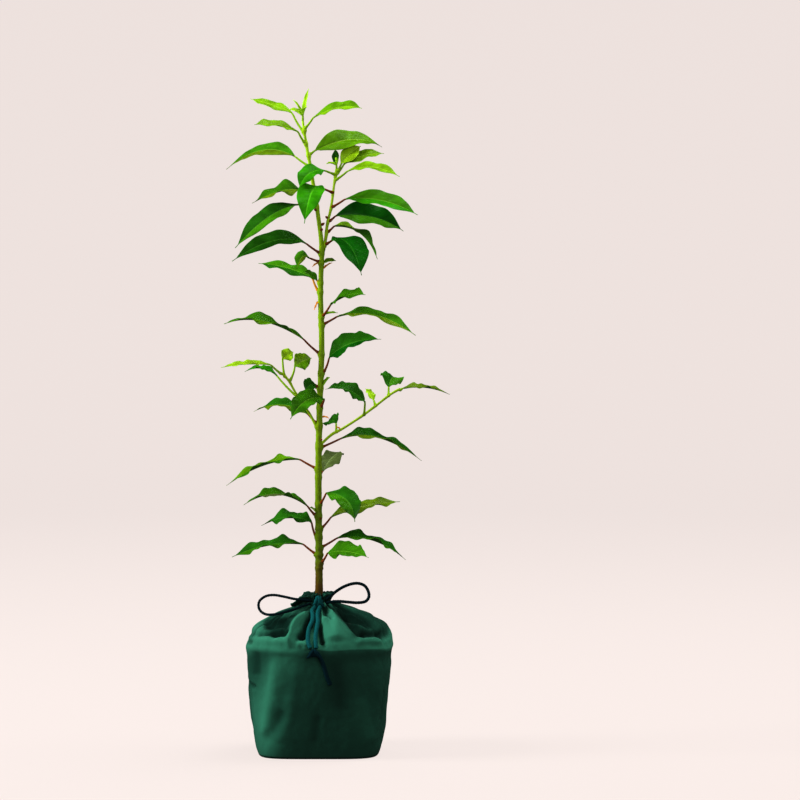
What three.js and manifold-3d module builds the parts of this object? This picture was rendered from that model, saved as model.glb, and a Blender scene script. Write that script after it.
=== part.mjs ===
// Young evergreen laurel with its root ball in a cotton drawstring bag.
// Millimetres, +Z up, +X to the right, -Y to the front. The origin is the middle of the bag's flat underside.
import * as THREE from 'three';
import { mergeVertices } from 'three/addons/utils/BufferGeometryUtils.js';
import Module from 'manifold-3d';

const wasm = await Module();
wasm.setup();

// Driving dimensions
const clearance = 0.3; // between a limb and what grows from it
const limbSides = 8;
const petioleRadius = [1.15, 0.85]; // where it leaves the limb, and under the blade
const bladeThickness = { midrib: 1.3, margin: 0.9, tip: 0.6 };
const leastHalfWidth = 0.35; // of a blade, at its tip
const marginWaves = 2; // waves along one margin
const cordDiameter = 2;

const up = new THREE.Vector3(0, 0, 1);
const radians = THREE.MathUtils.degToRad;

// Limbs: the line of the middle as [x, y, z], and the radius at the foot and at the tip.
const limbs = {
  trunk: {
    way: [[0, 0, 150.3], [0, 0.5, 200], [-0.6, 0, 270], [0.6, -1, 340], [2.8, -0.5, 405], [1.6, 1, 460],
      [2.8, 1, 503], [-1, 1.5, 538], [-6, 2.5, 570], [-11, 3.5, 599], [-14.2, 4, 617], [-16, 4.5, 631]],
    radius: [3.7, 1.1],
    flare: { radius: 1.7, height: 7 },
  },
  right_leader: {
    from: 'trunk', at: 504, toward: 0,
    way: [[7.2, 1, 516], [8.6, 1, 528], [12.4, 2, 545], [15, 4, 565], [17.6, 6, 583]],
    radius: [1.7, 1],
  },
  left_twig: {
    from: 'trunk', at: 326, toward: 196,
    way: [[-9, -3.5, 338], [-16, -6, 348], [-24, -8, 361], [-29.5, -9.5, 371], [-36.5, -11, 379.5]],
    radius: [1.3, 1],
  },
  right_twig: {
    from: 'trunk', at: 309, toward: 12,
    way: [[13, 4, 317.5], [22.5, 6.5, 322.5], [42, 10, 335], [57.5, 12, 346.5], [71, 13, 357], [81, 14, 363]],
    radius: [1.35, 1],
  },
};

// Leaves, from the lowest up: name, limb, height where the stalk leaves it, the stalk's [direction, reach,
// rise], the blade's [direction, reach, drop, width], and what sets its shape apart. Directions are degrees
// from +X, with 90 to the back and 270 to the front. roll turns the upper face to the front, twist adds to it
// at the tip, cup raises both margins, and wave is how far they ripple, so that the leaf looks narrowest at
// pinch.
const leaves = [
  ['stem_leaf_01', 'trunk', 190, [-36, 11, 10], [-35, 50, 3, 27],
    { arch: 3, roll: 52, twist: -44, wave: 2.5, pinch: 0.5 }],
  ['stem_leaf_02', 'trunk', 198, [166, 17, 10], [166, 74, 15, 27],
    { arch: 5, roll: 2, twist: 36, wave: 3, pinch: 0.53 }],
  ['stem_leaf_03', 'trunk', 205, [20, 20, 9], [14, 70, 24, 28],
    { arch: 9, crest: 0.55, roll: 13, wave: 2.8, pinch: 0.48 }],
  ['stem_leaf_04', 'trunk', 216, [155, 8, 14], [164, 53, 5, 27],
    { arch: 6, roll: 19, wave: 3.6, pinch: 0.38 }],
  ['stem_leaf_05', 'trunk', 224, [28, 14, 11], [34, 83, -12, 26],
    { arch: 3, roll: 14, twist: 8, wave: 3.2, pinch: 0.54 }],
  ['stem_leaf_06', 'trunk', 237, [196, 12, 10], [192, 64, -1, 26],
    { arch: 11, roll: 10, wave: 2.4, pinch: 0.32 }],
  ['stem_leaf_07', 'trunk', 249, [-48, 12, 11], [-50, 45, 27, 27], { arch: 13, crest: 0.95, roll: 20 }],
  ['stem_leaf_08', 'trunk', 284, [168, 20, 9], [166, 76, 28, 24],
    { arch: 7, roll: 3, twist: 20, wave: 2.6, pinch: 0.5 }],
  ['stem_leaf_09', 'trunk', 276, [70, 11, 4], [68, 46, -18, 28], { arch: 3, roll: 0, wave: 3 }],
  ['stem_leaf_10', 'trunk', 305, [14, 24, 9], [14, 82, 24, 27],
    { arch: 11, crest: 0.45, roll: 17, wave: 2.4, pinch: 0.55 }],
  ['stem_leaf_11', 'trunk', 329, [152, 13, 9], [144, 69, -1, 25], { arch: 8, roll: 20, pinch: 0.4 }],
  ['stem_leaf_12', 'trunk', 345.5, [300, 10, 8], [218, 42, 19.5, 26], { arch: 9, crest: 0.6, roll: 32 }],
  ['stem_leaf_13', 'trunk', 365, [205, 6, 3], [215, 12, 6, 17], { arch: 2, roll: 40, wave: 1 }],
  ['stem_leaf_14', 'trunk', 380, [-24, 9, 15], [-22, 56, -18, 34],
    { arch: 6, crest: 0.36, roll: 58, twist: -43, wave: 1.5 }],
  ['stem_leaf_15', 'trunk', 399, [188, 19, 15], [190, 79, -14, 25],
    { arch: 10, crest: 0.56, roll: 15, wave: 3.4, pinch: 0.25 }],
  ['stem_leaf_16', 'trunk', 428, [-10, 17, 8], [-30, 89, 19, 23],
    { arch: 10, crest: 0.5, roll: 15, twist: 8 }],
  ['stem_leaf_17', 'trunk', 436, [-44, 14, 12], [-44, 48, -9, 24], { arch: 4, roll: 30 }],
  ['stem_leaf_18', 'trunk', 461, [152, 9, 13], [142, 71, -15, 21], { arch: 3, roll: 22, cup: 8 }],
  ['stem_leaf_19', 'trunk', 470, [145, 4, 1], [190, 14, -9, 11], { arch: 2, roll: 40, wave: 1 }],
  ['stem_leaf_20', 'trunk', 490, [195, 13, 4], [205, 13, 11, 19],
    { arch: 7, crest: 0.6, roll: 20, wave: 1 }],
  ['stem_leaf_21', 'trunk', 499, [196, 17, 10], [204, 78, 19, 28],
    { arch: 10, crest: 0.42, roll: 32, wave: 1.5 }],
  ['stem_leaf_22', 'trunk', 546, [202, 22, 1], [210, 68, 44, 27], { arch: 7, roll: 27, wave: 1.5 }],
  ['stem_leaf_23', 'trunk', 560, [188, 15, 2], [192, 48, 14, 26],
    { arch: 4, crest: 0.4, roll: 50, twist: -50, wave: 3.5 }],
  ['stem_leaf_24', 'trunk', 586, [160, 17, 10], [150, 81, 12, 27],
    { arch: 12, crest: 0.48, roll: 32, cup: 6, wave: 0.8 }],
  ['stem_leaf_25', 'trunk', 597, [20, 7, 4], [25, 74, -5, 30],
    { arch: 9, crest: 0.6, roll: 54, twist: -36, wave: 1.5 }],
  ['stem_leaf_26', 'trunk', 609, [210, 9, 11], [210, 49, -5, 20],
    { arch: 3, crest: 0.6, roll: 26, wave: 1.5 }],
  ['stem_leaf_27', 'trunk', 621, [155, 13, 18], [155, 47, -15, 17],
    { arch: 1, roll: 22, crest: 0.6, cup: 6, wave: 1 }],
  ['stem_leaf_28', 'trunk', 623, [-28, 11, 11], [-30, 56, -7, 22],
    { arch: 5, crest: 0.6, roll: 32, wave: 1.5 }],
  ['leader_leaf_01', 'right_leader', 508, [-24, 12, 6], [-63, 58, 38, 36],
    { arch: 12, crest: 0.72, roll: 0 }],
  ['leader_leaf_02', 'right_leader', 520, [30, 9, 6], [33, 51, 33, 27],
    { arch: 13, crest: 0.72, roll: 12 }],
  ['leader_leaf_03', 'right_leader', 531, [20, 8, 5], [15, 70, 15, 32],
    { arch: 7, crest: 0.6, roll: 50, cup: 18 }],
  ['leader_leaf_04', 'right_leader', 545, [-12, 15, 8], [-18, 75, 17, 30],
    { arch: 6, crest: 0.55, roll: 30, wave: 1.5 }],
  ['leader_leaf_05', 'right_leader', 559, [222, 20, 6], [253, 42, 38, 29],
    { arch: 11, crest: 0.6, roll: 6 }],
  ['leader_leaf_06', 'right_leader', 572, [-18, 14, 9], [-24, 56, 7, 20], { arch: 6, roll: 24, wave: 1.5 }],
  ['leader_leaf_07', 'right_leader', 577, [212, 13, 4], [228, 36, 19, 21],
    { arch: 8, crest: 0.78, roll: 28 }],
  ['leader_leaf_08', 'right_leader', 578, [25, 9, 10], [22, 43, -11, 21], { arch: 3, roll: 28, wave: 1.5 }],
  ['leader_leaf_09', 'right_leader', 581, [10, 5, 7], [28, 22, -18, 17], { arch: 2, roll: 50, wave: 1 }],
  ['left_twig_leaf_01', 'left_twig', 357, [155, 24, 21], [162, 33, -2, 14], { arch: 5, roll: 14, wave: 1 }],
  ['left_twig_leaf_02', 'left_twig', 371, [20, 6, 15], [12, 17, -8, 20],
    { arch: 1, roll: 60, wave: 2, pinch: 0.55 }],
  ['left_twig_leaf_03', 'left_twig', 376, [120, 5, 17], [30, 12, -7, 15],
    { arch: 1, roll: 56, wave: 2, pinch: 0.5 }],
  ['left_twig_leaf_04', 'left_twig', 379, [182, 12, 9], [200, 51, 3, 16], { arch: 2, roll: 14, wave: 0.6 }],
  ['right_twig_leaf_01', 'right_twig', 320, [100, 4, 9], [120, 20, 2, 20],
    { arch: 3, roll: 36, wave: 1.5 }],
  ['right_twig_leaf_02', 'right_twig', 337, [276, 12, 14], [196, 41, -12, 26],
    { arch: 6, roll: 58, twist: -62, wave: 1 }],
  ['right_twig_leaf_03', 'right_twig', 346, [120, 4, 5], [160, 9, -12, 11], { arch: 1, roll: 20, wave: 1 }],
  ['right_twig_leaf_04', 'right_twig', 356, [90, 5, 9], [80, 34, -8, 24], { arch: 4, roll: 20 }],
  ['right_twig_leaf_05', 'right_twig', 362.5, [12, 4, 1], [25, 52, 7, 16], { arch: 4, roll: 14, wave: 1 }],
];

// The two growing tips: each a bunch of small young leaves on one short stem, in the same terms as above.
const shootTips = {
  stem_tip: {
    from: 'trunk', height: 9,
    blades: [[20, 6, -28, 4], [190, 14, -6, 9], [150, 11, -15, 3], [300, 8, -6, 8]],
  },
  leader_tip: {
    from: 'right_leader', height: 6,
    blades: [[100, 9, -17, 8], [200, 11, -1, 4], [270, 8, -6, 4]],
  },
};

// The bag's sections: height, half its width, how square it is, and pleat depth. Its foot is nearly square
// and the rim of the pot in it, at 108, nearly round.
const bagSections = [
  [0, 53, 4.6, 0], [2.5, 57.5, 4.6, 0], [20, 64, 4.2, 0], [45, 68, 3.6, 0], [75, 71.5, 3, 0],
  [100, 73, 2.7, 0], [109, 72.5, 2.6, 0.4], [118, 68.5, 2.5, 0.8], [126, 61.5, 2.4, 1.2],
  [134.5, 50, 2.3, 1.5], [140.5, 38, 2.2, 1.6], [145.5, 25, 2, 1.5], [150, 15, 2, 1],
];
const bagSides = 36;
const pleats = 9;

// The gathered hem above the drawstring: its inner and mean outer radius, the point that lies out to the
// left, and its heights.
const frill = { inner: 6.4, outer: 14, point: 15, pointAt: 186, foot: 150.6, crown: 159, ruffles: 7 };

// The bow at the front of the neck and the knot that joins its two ends: [x, y, z] and half sizes.
const bowKnot = { at: [0, -25, 152.5], half: [6.5, 3.6, 5] };
const endKnot = { at: [-3, -76.4, 106.4], half: [6.5, 3, 3.8] };

// Drawstring routes, [x, y, z] along the middle of the cord. Each begins and ends clear of its knot.
const cordRoutes = {
  drawstring_loop_left: [[-7.6, -25.6, 153.4], [-14, -25.6, 154.2], [-24, -24, 155], [-34, -22, 157],
    [-44, -21, 158.6], [-52, -21, 157.6], [-58, -22, 153.6], [-59.6, -24, 148.4], [-57.5, -27, 143.4],
    [-52, -31, 140.4], [-44, -35, 140.6], [-34, -37, 142.8], [-24, -35.5, 145.6], [-15, -31.5, 148.6],
    [-7.6, -27.6, 150.8]],
  drawstring_loop_right: [[7.6, -25.6, 154.6], [12, -26, 158], [18, -26, 163], [25, -25, 167.2],
    [33, -24, 170], [40, -23.5, 170.4], [46, -24, 168], [49.5, -25, 162.6], [50, -27, 157],
    [46.5, -30, 153], [39, -32, 152], [30, -32.5, 152.6], [21, -31, 153.2], [14, -28.6, 152.6],
    [7.6, -26.6, 151.4]],
  drawstring_end_left: [[-3, -27.6, 147.6], [-6, -34, 144.2], [-5.2, -43, 140.2], [-5.6, -52, 135.6],
    [-8.4, -60, 129.4], [-9.4, -66.6, 122.6], [-8.8, -71.4, 116], [-6.6, -74, 110.9]],
  drawstring_end_right: [[2, -27.6, 147.6], [0, -35, 143.8], [-0.6, -43.5, 140], [0, -52.5, 135.2],
    [-1, -60.6, 129], [-1.8, -67, 122.2], [-1.6, -71.6, 116], [-1, -74.2, 110.9]],
};
const looseEnd = [[1, -75.8, 105], [4, -74.8, 99.5], [6.5, -74.4, 93.5], [9.5, -73.8, 83], [13, -73, 75]];

const colours = {
  bark: 0x6a7a1e, twig: 0x9bc800, leaf: 0x1e7a12, youngLeaf: 0x7cc800, cotton: 0x1a5a45, cord: 0x0b2f38,
};
const youngLeaves = /^(stem_leaf_2[678]|leader_leaf_0[6789]|left_twig|right_twig_leaf_05)/;

function material(colour, roughness) {
  return new THREE.MeshStandardMaterial({ color: colour, roughness, metalness: 0 });
}

const group = new THREE.Group();

function addMesh(name, geometry, colour, roughness) {
  const mesh = new THREE.Mesh(geometry, material(colour, roughness));
  mesh.name = name;
  group.add(mesh);
}

// Skins a row of rings, each a closed loop of the same number of points. The faces are cut the other way in
// the second half of a ring, so that both sides of a twisted blade stay parallel. An open row gets a flat cap
// at both ends, and the faces are turned over if they come out pointing inwards.
function skin(rings, closed = false) {
  const sides = rings[0].length;
  const positions = rings.flat().flatMap((p) => [p.x, p.y, p.z]);
  const index = [];
  const last = closed ? rings.length : rings.length - 1;
  for (let r = 0; r < last; r += 1) {
    for (let s = 0; s < sides; s += 1) {
      const a = r * sides + s;
      const b = r * sides + ((s + 1) % sides);
      const c = ((r + 1) % rings.length) * sides + ((s + 1) % sides);
      const d = ((r + 1) % rings.length) * sides + s;
      if (2 * s < sides) {
        index.push(a, b, c, a, c, d);
      } else {
        index.push(a, b, d, b, c, d);
      }
    }
  }
  if (!closed) {
    const end = (rings.length - 1) * sides;
    for (let s = 1; s < sides - 1; s += 1) {
      index.push(0, s + 1, s, end, end + s, end + s + 1);
    }
  }
  let volume = 0;
  const corner = (i) => new THREE.Vector3().fromArray(positions, index[i] * 3);
  for (let i = 0; i < index.length; i += 3) {
    volume += corner(i).dot(corner(i + 1).cross(corner(i + 2)));
  }
  if (volume < 0) {
    index.reverse();
  }
  const geometry = new THREE.BufferGeometry();
  geometry.setAttribute('position', new THREE.Float32BufferAttribute(positions, 3));
  geometry.setIndex(index);
  return geometry;
}

function toManifold(geometry) {
  const bare = geometry.clone();
  bare.deleteAttribute('normal');
  bare.deleteAttribute('uv');
  const merged = mergeVertices(bare, 1e-4);
  return new wasm.Manifold(new wasm.Mesh({
    numProp: 3,
    vertProperties: new Float32Array(merged.attributes.position.array),
    triVerts: new Uint32Array(merged.index.array),
  }));
}

// Joins solids that run into each other into one.
function fuse(geometries) {
  const whole = geometries.map(toManifold).reduce((a, b) => a.add(b));
  const mesh = whole.getMesh();
  const geometry = new THREE.BufferGeometry();
  geometry.setAttribute('position', new THREE.Float32BufferAttribute(mesh.vertProperties, 3));
  geometry.setIndex(Array.from(mesh.triVerts));
  return geometry;
}

function heading(degrees) {
  return new THREE.Vector3(Math.cos(radians(degrees)), Math.sin(radians(degrees)), 0);
}

// A ring of points round a centre, in the plane of two directions.
function ringAt(centre, right, over, radius, sides = limbSides) {
  return Array.from({ length: sides }, (_, i) => {
    const angle = (2 * Math.PI * (i + 0.5)) / sides;
    return centre.clone().addScaledVector(right, radius * Math.cos(angle))
      .addScaledVector(over, radius * Math.sin(angle));
  });
}

// The curve and the radius of a limb, with the place at a height on it.
function makeLimb(spec) {
  const points = spec.way.map((p) => new THREE.Vector3(...p));
  let start = null;
  if (spec.from) {
    start = leaveLimb(limbs[spec.from].line, spec.at, heading(spec.toward));
    points.unshift(start.point);
  }
  const curve = new THREE.CatmullRomCurve3(points, false, 'catmullrom', 0.5);
  const steps = 240; // in the table of heights
  const table = Array.from({ length: steps + 1 }, (_, i) => curve.getPoint(i / steps));
  const radiusAt = (u, z) => {
    const flare = spec.flare ? spec.flare.radius * Math.exp(-(z - points[0].z) / spec.flare.height) : 0;
    return THREE.MathUtils.lerp(spec.radius[0], spec.radius[1], u) + flare;
  };
  const atHeight = (z) => {
    let i = table.findIndex((p) => p.z >= z);
    i = THREE.MathUtils.clamp(i < 0 ? steps : i, 1, steps);
    const share = THREE.MathUtils.clamp((z - table[i - 1].z) / (table[i].z - table[i - 1].z), 0, 1);
    const u = (i - 1 + share) / steps;
    return { point: curve.getPoint(u), tangent: curve.getTangent(u), radius: radiusAt(u, z) };
  };
  return { curve, radiusAt, atHeight, start };
}

// Where something leaves a limb: the middle of its flat end, clear of the bark, and the way that it points.
function leaveLimb(line, at, direction) {
  const place = line.atHeight(at);
  const out = direction.clone().addScaledVector(place.tangent, -direction.dot(place.tangent)).normalize();
  return { point: place.point.clone().addScaledVector(out, place.radius + clearance), out };
}

// A limb's solid: round sections square to its line, the first one flat against what carries it.
function limbSolid(spec, stations) {
  const { curve, radiusAt, start } = spec.line;
  const rings = [];
  for (let i = 0; i <= stations; i += 1) {
    const u = i / stations;
    const point = curve.getPoint(u);
    let along = curve.getTangent(u);
    if (i === 0) {
      along = start ? start.out : up;
    }
    const right = new THREE.Vector3(0, 1, 0).cross(along).normalize();
    const over = along.clone().cross(right).normalize();
    rings.push(ringAt(point, right, over, radiusAt(u, point.z)));
  }
  return skin(rings);
}

// Half of the blade's width as a share of its greatest, from the base (0) to the drawn-out tip (1).
function outline(u) {
  const body = Math.sin(Math.PI * Math.min(u / 0.92, 1) ** 0.88) ** 0.95;
  return Math.max(body, 0.1 * (1 - u) ** 0.5, 0.02);
}

// One section of a leaf: margin, midrib, margin above, and the same below.
function leafSection(centre, side, over, halfWidth, lift, thickness) {
  const point = (across, above) => centre.clone().addScaledVector(side, across).addScaledVector(over, above);
  const half = thickness.map((t) => t / 2);
  return [
    point(-halfWidth, lift[0] + half[1]), point(0, half[0]), point(halfWidth, lift[1] + half[1]),
    point(halfWidth, lift[1] - half[1]), point(0, -half[0]), point(-halfWidth, lift[0] - half[1]),
  ];
}

function bezier(a, b, c, u) {
  return a.clone().multiplyScalar((1 - u) ** 2).addScaledVector(b, 2 * u * (1 - u)).addScaledVector(c, u * u);
}

// A blade's sections from its base along an arching midrib.
function bladeSections(base, [toward, reach, drop, width], shape, stations) {
  const { arch = 0, crest = 0.5, roll = 0, twist = 0, cup = 12, wave = 2.5, pinch = 0.5 } = shape;
  const ahead = heading(toward);
  const tip = base.clone().addScaledVector(ahead, reach).addScaledVector(up, -drop);
  const bend = base.clone().addScaledVector(ahead, reach * crest)
    .addScaledVector(up, -drop * crest + 2 * arch);
  const facing = ahead.x < 0 ? -1 : 1;
  return stations.map((u) => {
    const centre = bezier(base, bend, tip, u);
    const along = bezier(base, bend, tip, u + 0.01).sub(bezier(base, bend, tip, u - 0.01)).normalize();
    const level = ahead.clone().cross(up);
    const side = level.addScaledVector(along, -level.dot(along)).normalize();
    side.applyAxisAngle(along, radians(facing * (roll + twist * u)));
    const over = side.clone().cross(along).normalize();
    const halfWidth = (width / 2) * outline(u);
    const ripple = -facing * wave * outline(u) * Math.cos(2 * Math.PI * marginWaves * (u - pinch));
    const lift = [1, -1].map((sign) => halfWidth * Math.sin(radians(cup)) + sign * ripple);
    const thinning = THREE.MathUtils.smoothstep(u, 0.85, 1);
    const thickness = [bladeThickness.midrib, bladeThickness.margin]
      .map((t) => THREE.MathUtils.lerp(t, bladeThickness.tip, thinning));
    const across = Math.max(halfWidth * Math.cos(radians(cup)), leastHalfWidth);
    return leafSection(centre, side, over, across, lift, thickness);
  });
}

const bladeStations = [0.06, 0.16, 0.28, 0.4, 0.52, 0.64, 0.76, 0.87, 0.94, 1];

// A whole leaf: a thin stalk that leaves its limb squarely and bends into the blade, in one skin.
function leafSolid([, limb, at, stalk, blade, shape]) {
  const [toward, reach, rise] = stalk;
  const line = limbs[limb].line;
  const start = leaveLimb(line, at, heading(toward));
  const middle = line.atHeight(at).point;
  const base = middle.clone().addScaledVector(heading(toward), reach).addScaledVector(up, rise);
  const knee = start.point.clone().lerp(base, 0.5).addScaledVector(heading(toward), 0.12 * rise);
  const rings = [0, 0.35, 0.7, 0.97].map((u) => {
    const centre = bezier(start.point, knee, base, u);
    const along = u === 0 ? start.out : bezier(start.point, knee, base, u + 0.03)
      .sub(bezier(start.point, knee, base, u - 0.03)).normalize();
    const flat = heading(toward).cross(up);
    const side = flat.addScaledVector(along, -flat.dot(along)).normalize();
    const over = side.clone().cross(along).normalize();
    const radius = THREE.MathUtils.lerp(petioleRadius[0], petioleRadius[1], u);
    return leafSection(centre, side, over, radius, [0, 0], [2 * radius, radius]);
  });
  return skin([...rings, ...bladeSections(base, blade, shape, bladeStations)]);
}

const youngShape = { arch: 1.5, roll: 30, wave: 0.4, cup: 20 };
const youngStations = [0.02, 0.2, 0.45, 0.7, 1];

// A growing tip: a short stem with small young leaves fused to it.
function tipSolid({ from, height, blades }) {
  const { curve } = limbs[from].line;
  const foot = curve.getPoint(1).addScaledVector(up, 2 * clearance);
  const radius = limbs[from].radius[1];
  const right = new THREE.Vector3(1, 0, 0);
  const back = new THREE.Vector3(0, 1, 0);
  const stem = skin([0, 0.6, 1].map((u) => ringAt(foot.clone().addScaledVector(up, height * u), right, back,
    radius * (1.1 - 0.5 * u), 6)));
  const young = blades.map((blade, i) => {
    const base = foot.clone().addScaledVector(up, height * (0.35 + (0.45 * i) / blades.length));
    return skin(bladeSections(base, blade, youngShape, youngStations));
  });
  return fuse([stem, ...young]);
}

// The filled bag: sections that go from square at the foot to round and pleated at the neck.
function bagSolid() {
  const section = ([z, half, square, pleat]) => Array.from({ length: bagSides }, (_, i) => {
    const angle = (2 * Math.PI * i) / bagSides;
    const [c, s] = [Math.cos(angle), Math.sin(angle)];
    const reach = half / (Math.abs(c) ** square + Math.abs(s) ** square) ** (1 / square);
    const radius = reach + pleat * Math.cos(pleats * angle);
    return new THREE.Vector3(radius * c, radius * s, z);
  });
  return skin(bagSections.map(section));
}

// The gathered hem: a ruffled collar that lies open round the foot of the trunk.
function frillSolid() {
  const steps = 40;
  const { inner, outer, point, pointAt, foot, crown, ruffles } = frill;
  const rings = Array.from({ length: steps }, (_, i) => {
    const angle = (2 * Math.PI * i) / steps;
    const near = Math.max(0, Math.cos(angle - radians(pointAt))) ** 12;
    const ruffle = Math.cos(ruffles * angle);
    const rim = outer + 1.6 * ruffle + point * near;
    const top = crown + 1.2 * ruffle - 10 * near;
    const at = (radius, z) => new THREE.Vector3(radius * Math.cos(angle), radius * Math.sin(angle), z);
    return [at(inner, foot), at(inner, crown - 3), at(inner + 3, crown), at(rim, top), at(rim - 1, top - 3.4),
      at(12, foot + 1)];
  });
  return skin(rings, true);
}

function knotSolid({ at, half }) {
  const ball = new THREE.SphereGeometry(1, 10, 6);
  ball.scale(...half);
  ball.translate(...at);
  return mergeVertices(bareGeometry(ball), 1e-4);
}

function bareGeometry(geometry) {
  geometry.deleteAttribute('normal');
  geometry.deleteAttribute('uv');
  return geometry;
}

// A round cord along a smooth curve through its route.
function cordSolid(route, steps) {
  const section = new THREE.Shape();
  const sides = 8;
  for (let i = 0; i <= sides; i += 1) {
    const angle = (2 * Math.PI * i) / sides;
    const [x, y] = [(cordDiameter / 2) * Math.cos(angle), (cordDiameter / 2) * Math.sin(angle)];
    if (i === 0) {
      section.moveTo(x, y);
    } else {
      section.lineTo(x, y);
    }
  }
  const extrudePath = new THREE.CatmullRomCurve3(route.map((p) => new THREE.Vector3(...p)));
  return new THREE.ExtrudeGeometry(section, { steps, bevelEnabled: false, extrudePath });
}

const trunkStations = 32;
const limbStations = { trunk: trunkStations, right_leader: 12, left_twig: 8, right_twig: 9 };
for (const [name, spec] of Object.entries(limbs)) {
  spec.line = makeLimb(spec);
  addMesh(name, limbSolid(spec, limbStations[name]), name === 'trunk' ? colours.bark : colours.twig, 0.6);
}

for (const row of leaves) {
  addMesh(row[0], leafSolid(row), youngLeaves.test(row[0]) ? colours.youngLeaf : colours.leaf, 0.35);
}

for (const [name, tip] of Object.entries(shootTips)) {
  addMesh(name, tipSolid(tip), colours.youngLeaf, 0.4);
}

addMesh('root_ball_bag', bagSolid(), colours.cotton, 0.9);
addMesh('bag_frill', frillSolid(), colours.cotton, 0.9);
addMesh('drawstring_knot', knotSolid(bowKnot), colours.cord, 0.8);
for (const [name, route] of Object.entries(cordRoutes)) {
  addMesh(name, cordSolid(route, name.includes('loop') ? 24 : 12), colours.cord, 0.8);
}
addMesh('drawstring_end_knot', fuse([knotSolid(endKnot), cordSolid(looseEnd, 6)]), colours.cord, 0.8);

export default group;
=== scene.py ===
import math
import random

import bpy
import numpy as np
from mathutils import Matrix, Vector, noise


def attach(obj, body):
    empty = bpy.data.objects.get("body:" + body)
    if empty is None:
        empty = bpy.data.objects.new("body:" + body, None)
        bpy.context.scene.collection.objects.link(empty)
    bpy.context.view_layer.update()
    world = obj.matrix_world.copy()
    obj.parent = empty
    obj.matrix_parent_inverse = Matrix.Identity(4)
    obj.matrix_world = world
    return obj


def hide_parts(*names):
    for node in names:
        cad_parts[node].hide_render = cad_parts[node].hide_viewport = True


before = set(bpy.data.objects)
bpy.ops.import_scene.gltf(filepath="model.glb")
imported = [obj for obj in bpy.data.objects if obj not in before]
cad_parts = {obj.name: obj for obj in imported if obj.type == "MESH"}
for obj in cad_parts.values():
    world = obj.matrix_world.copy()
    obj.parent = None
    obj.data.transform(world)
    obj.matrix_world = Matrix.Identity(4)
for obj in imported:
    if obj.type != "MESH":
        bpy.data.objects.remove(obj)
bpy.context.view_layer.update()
mm = 0.001


# Camera: the photograph's viewing angle, from a little above the middle of the plant.
view = {"eye": (0.081, -3.230, 0.450), "tiltDown": 1.7374, "lens": 145.538, "sensor": 36, "clipEnd": 30}


def makeCamera():
    data = bpy.data.cameras.new("camera")
    data.lens, data.sensor_width, data.clip_end = view["lens"], view["sensor"], view["clipEnd"]
    camera = bpy.data.objects.new("camera", data)
    camera.location = view["eye"]
    camera.rotation_euler = (math.radians(90 - view["tiltDown"]), 0, 0)
    bpy.context.collection.objects.link(camera)
    bpy.context.scene.camera = camera
    print("camera set")


makeCamera()


def linear(hexText, strength=1):  # an sRGB hex colour as linear light
    channels = [int(hexText[i:i + 2], 16) / 255 for i in (1, 3, 5)]
    return [strength * (c / 12.92 if c <= 0.04045 else ((c + 0.055) / 1.055) ** 2.4) for c in channels] + [1]


# Adds a node. Each setting is an attribute, or a socket that takes a value or a link.
def addNode(tree, kind, settings):
    node = tree.nodes.new(kind)
    for name, value in settings.items():
        if isinstance(name, str) and hasattr(node, name):
            setattr(node, name, value)
        elif isinstance(value, bpy.types.NodeSocket):
            tree.links.new(value, node.inputs[name])
        else:
            node.inputs[name].default_value = value
    return node


def reckoned(tree, operation, *values, clamp=False):
    settings = {"operation": operation, "use_clamp": clamp, **dict(enumerate(values))}
    return addNode(tree, "ShaderNodeMath", settings).outputs[0]


def ranged(tree, value, low, high, first=0, last=1):
    settings = {"Value": value, "From Min": low, "From Max": high, "To Min": first, "To Max": last}
    return addNode(tree, "ShaderNodeMapRange", settings).outputs[0]


def mixed(tree, share, first, second):
    settings = {"data_type": "RGBA", 0: share, 6: first, 7: second}
    return addNode(tree, "ShaderNodeMix", settings).outputs[2]


def grained(tree, place, scale, detail, roughness=0.5, lengthways=1):  # noise, drawn out along Z below 1
    if lengthways < 1:
        place = addNode(tree, "ShaderNodeMapping", {"Vector": place, "Scale": (1, 1, lengthways)}).outputs[0]
    settings = {"Vector": place, "Scale": scale, "Detail": detail, "Roughness": roughness}
    return addNode(tree, "ShaderNodeTexNoise", settings).outputs["Fac"]


def placesOf(tree):
    return addNode(tree, "ShaderNodeTexCoord", {}).outputs


def newMaterial(name, settings):
    material = bpy.data.materials.new(name)
    material.use_nodes = True
    for socket, value in settings.items():
        material.node_tree.nodes["Principled BSDF"].inputs[socket].default_value = value
    return material, material.node_tree


def dressed(material, colour, height=None, strength=0, distance=0.0003):
    tree = material.node_tree
    shader = tree.nodes["Principled BSDF"]
    tree.links.new(colour, shader.inputs["Base Color"])
    if height is not None:
        bump = addNode(tree, "ShaderNodeBump", {"Height": height, "Strength": strength, "Distance": distance})
        tree.links.new(bump.outputs["Normal"], shader.inputs["Normal"])
    return material


def smooth(low, high, x):
    t = np.clip((x - low) / (high - low), 0, 1)
    return t * t * (3 - 2 * t)


def rows(*points):
    return np.array(points, float)


up = rows(0, 0, 1)


def unit(vectors):
    return vectors / np.linalg.norm(vectors, axis=-1, keepdims=True)


def runAlong(line):  # how far each point of a line lies from its start
    return np.concatenate([[0], np.cumsum(np.linalg.norm(np.diff(line, axis=0), axis=1))])


def rounds(count):  # even angles round a ring
    return 2 * np.pi * np.arange(count) / count


def circle(angle, side, over):  # the directions round a ring
    return np.cos(angle)[:, None] * side + np.sin(angle)[:, None] * over


def level(angle):
    return circle(angle, rows(1, 0, 0), rows(0, 1, 0))


def uvGrid(perRing, perStep):
    return np.stack(np.broadcast_arrays(np.array(perRing)[:, None], np.array(perStep)[None, :]), axis=-1)


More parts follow.
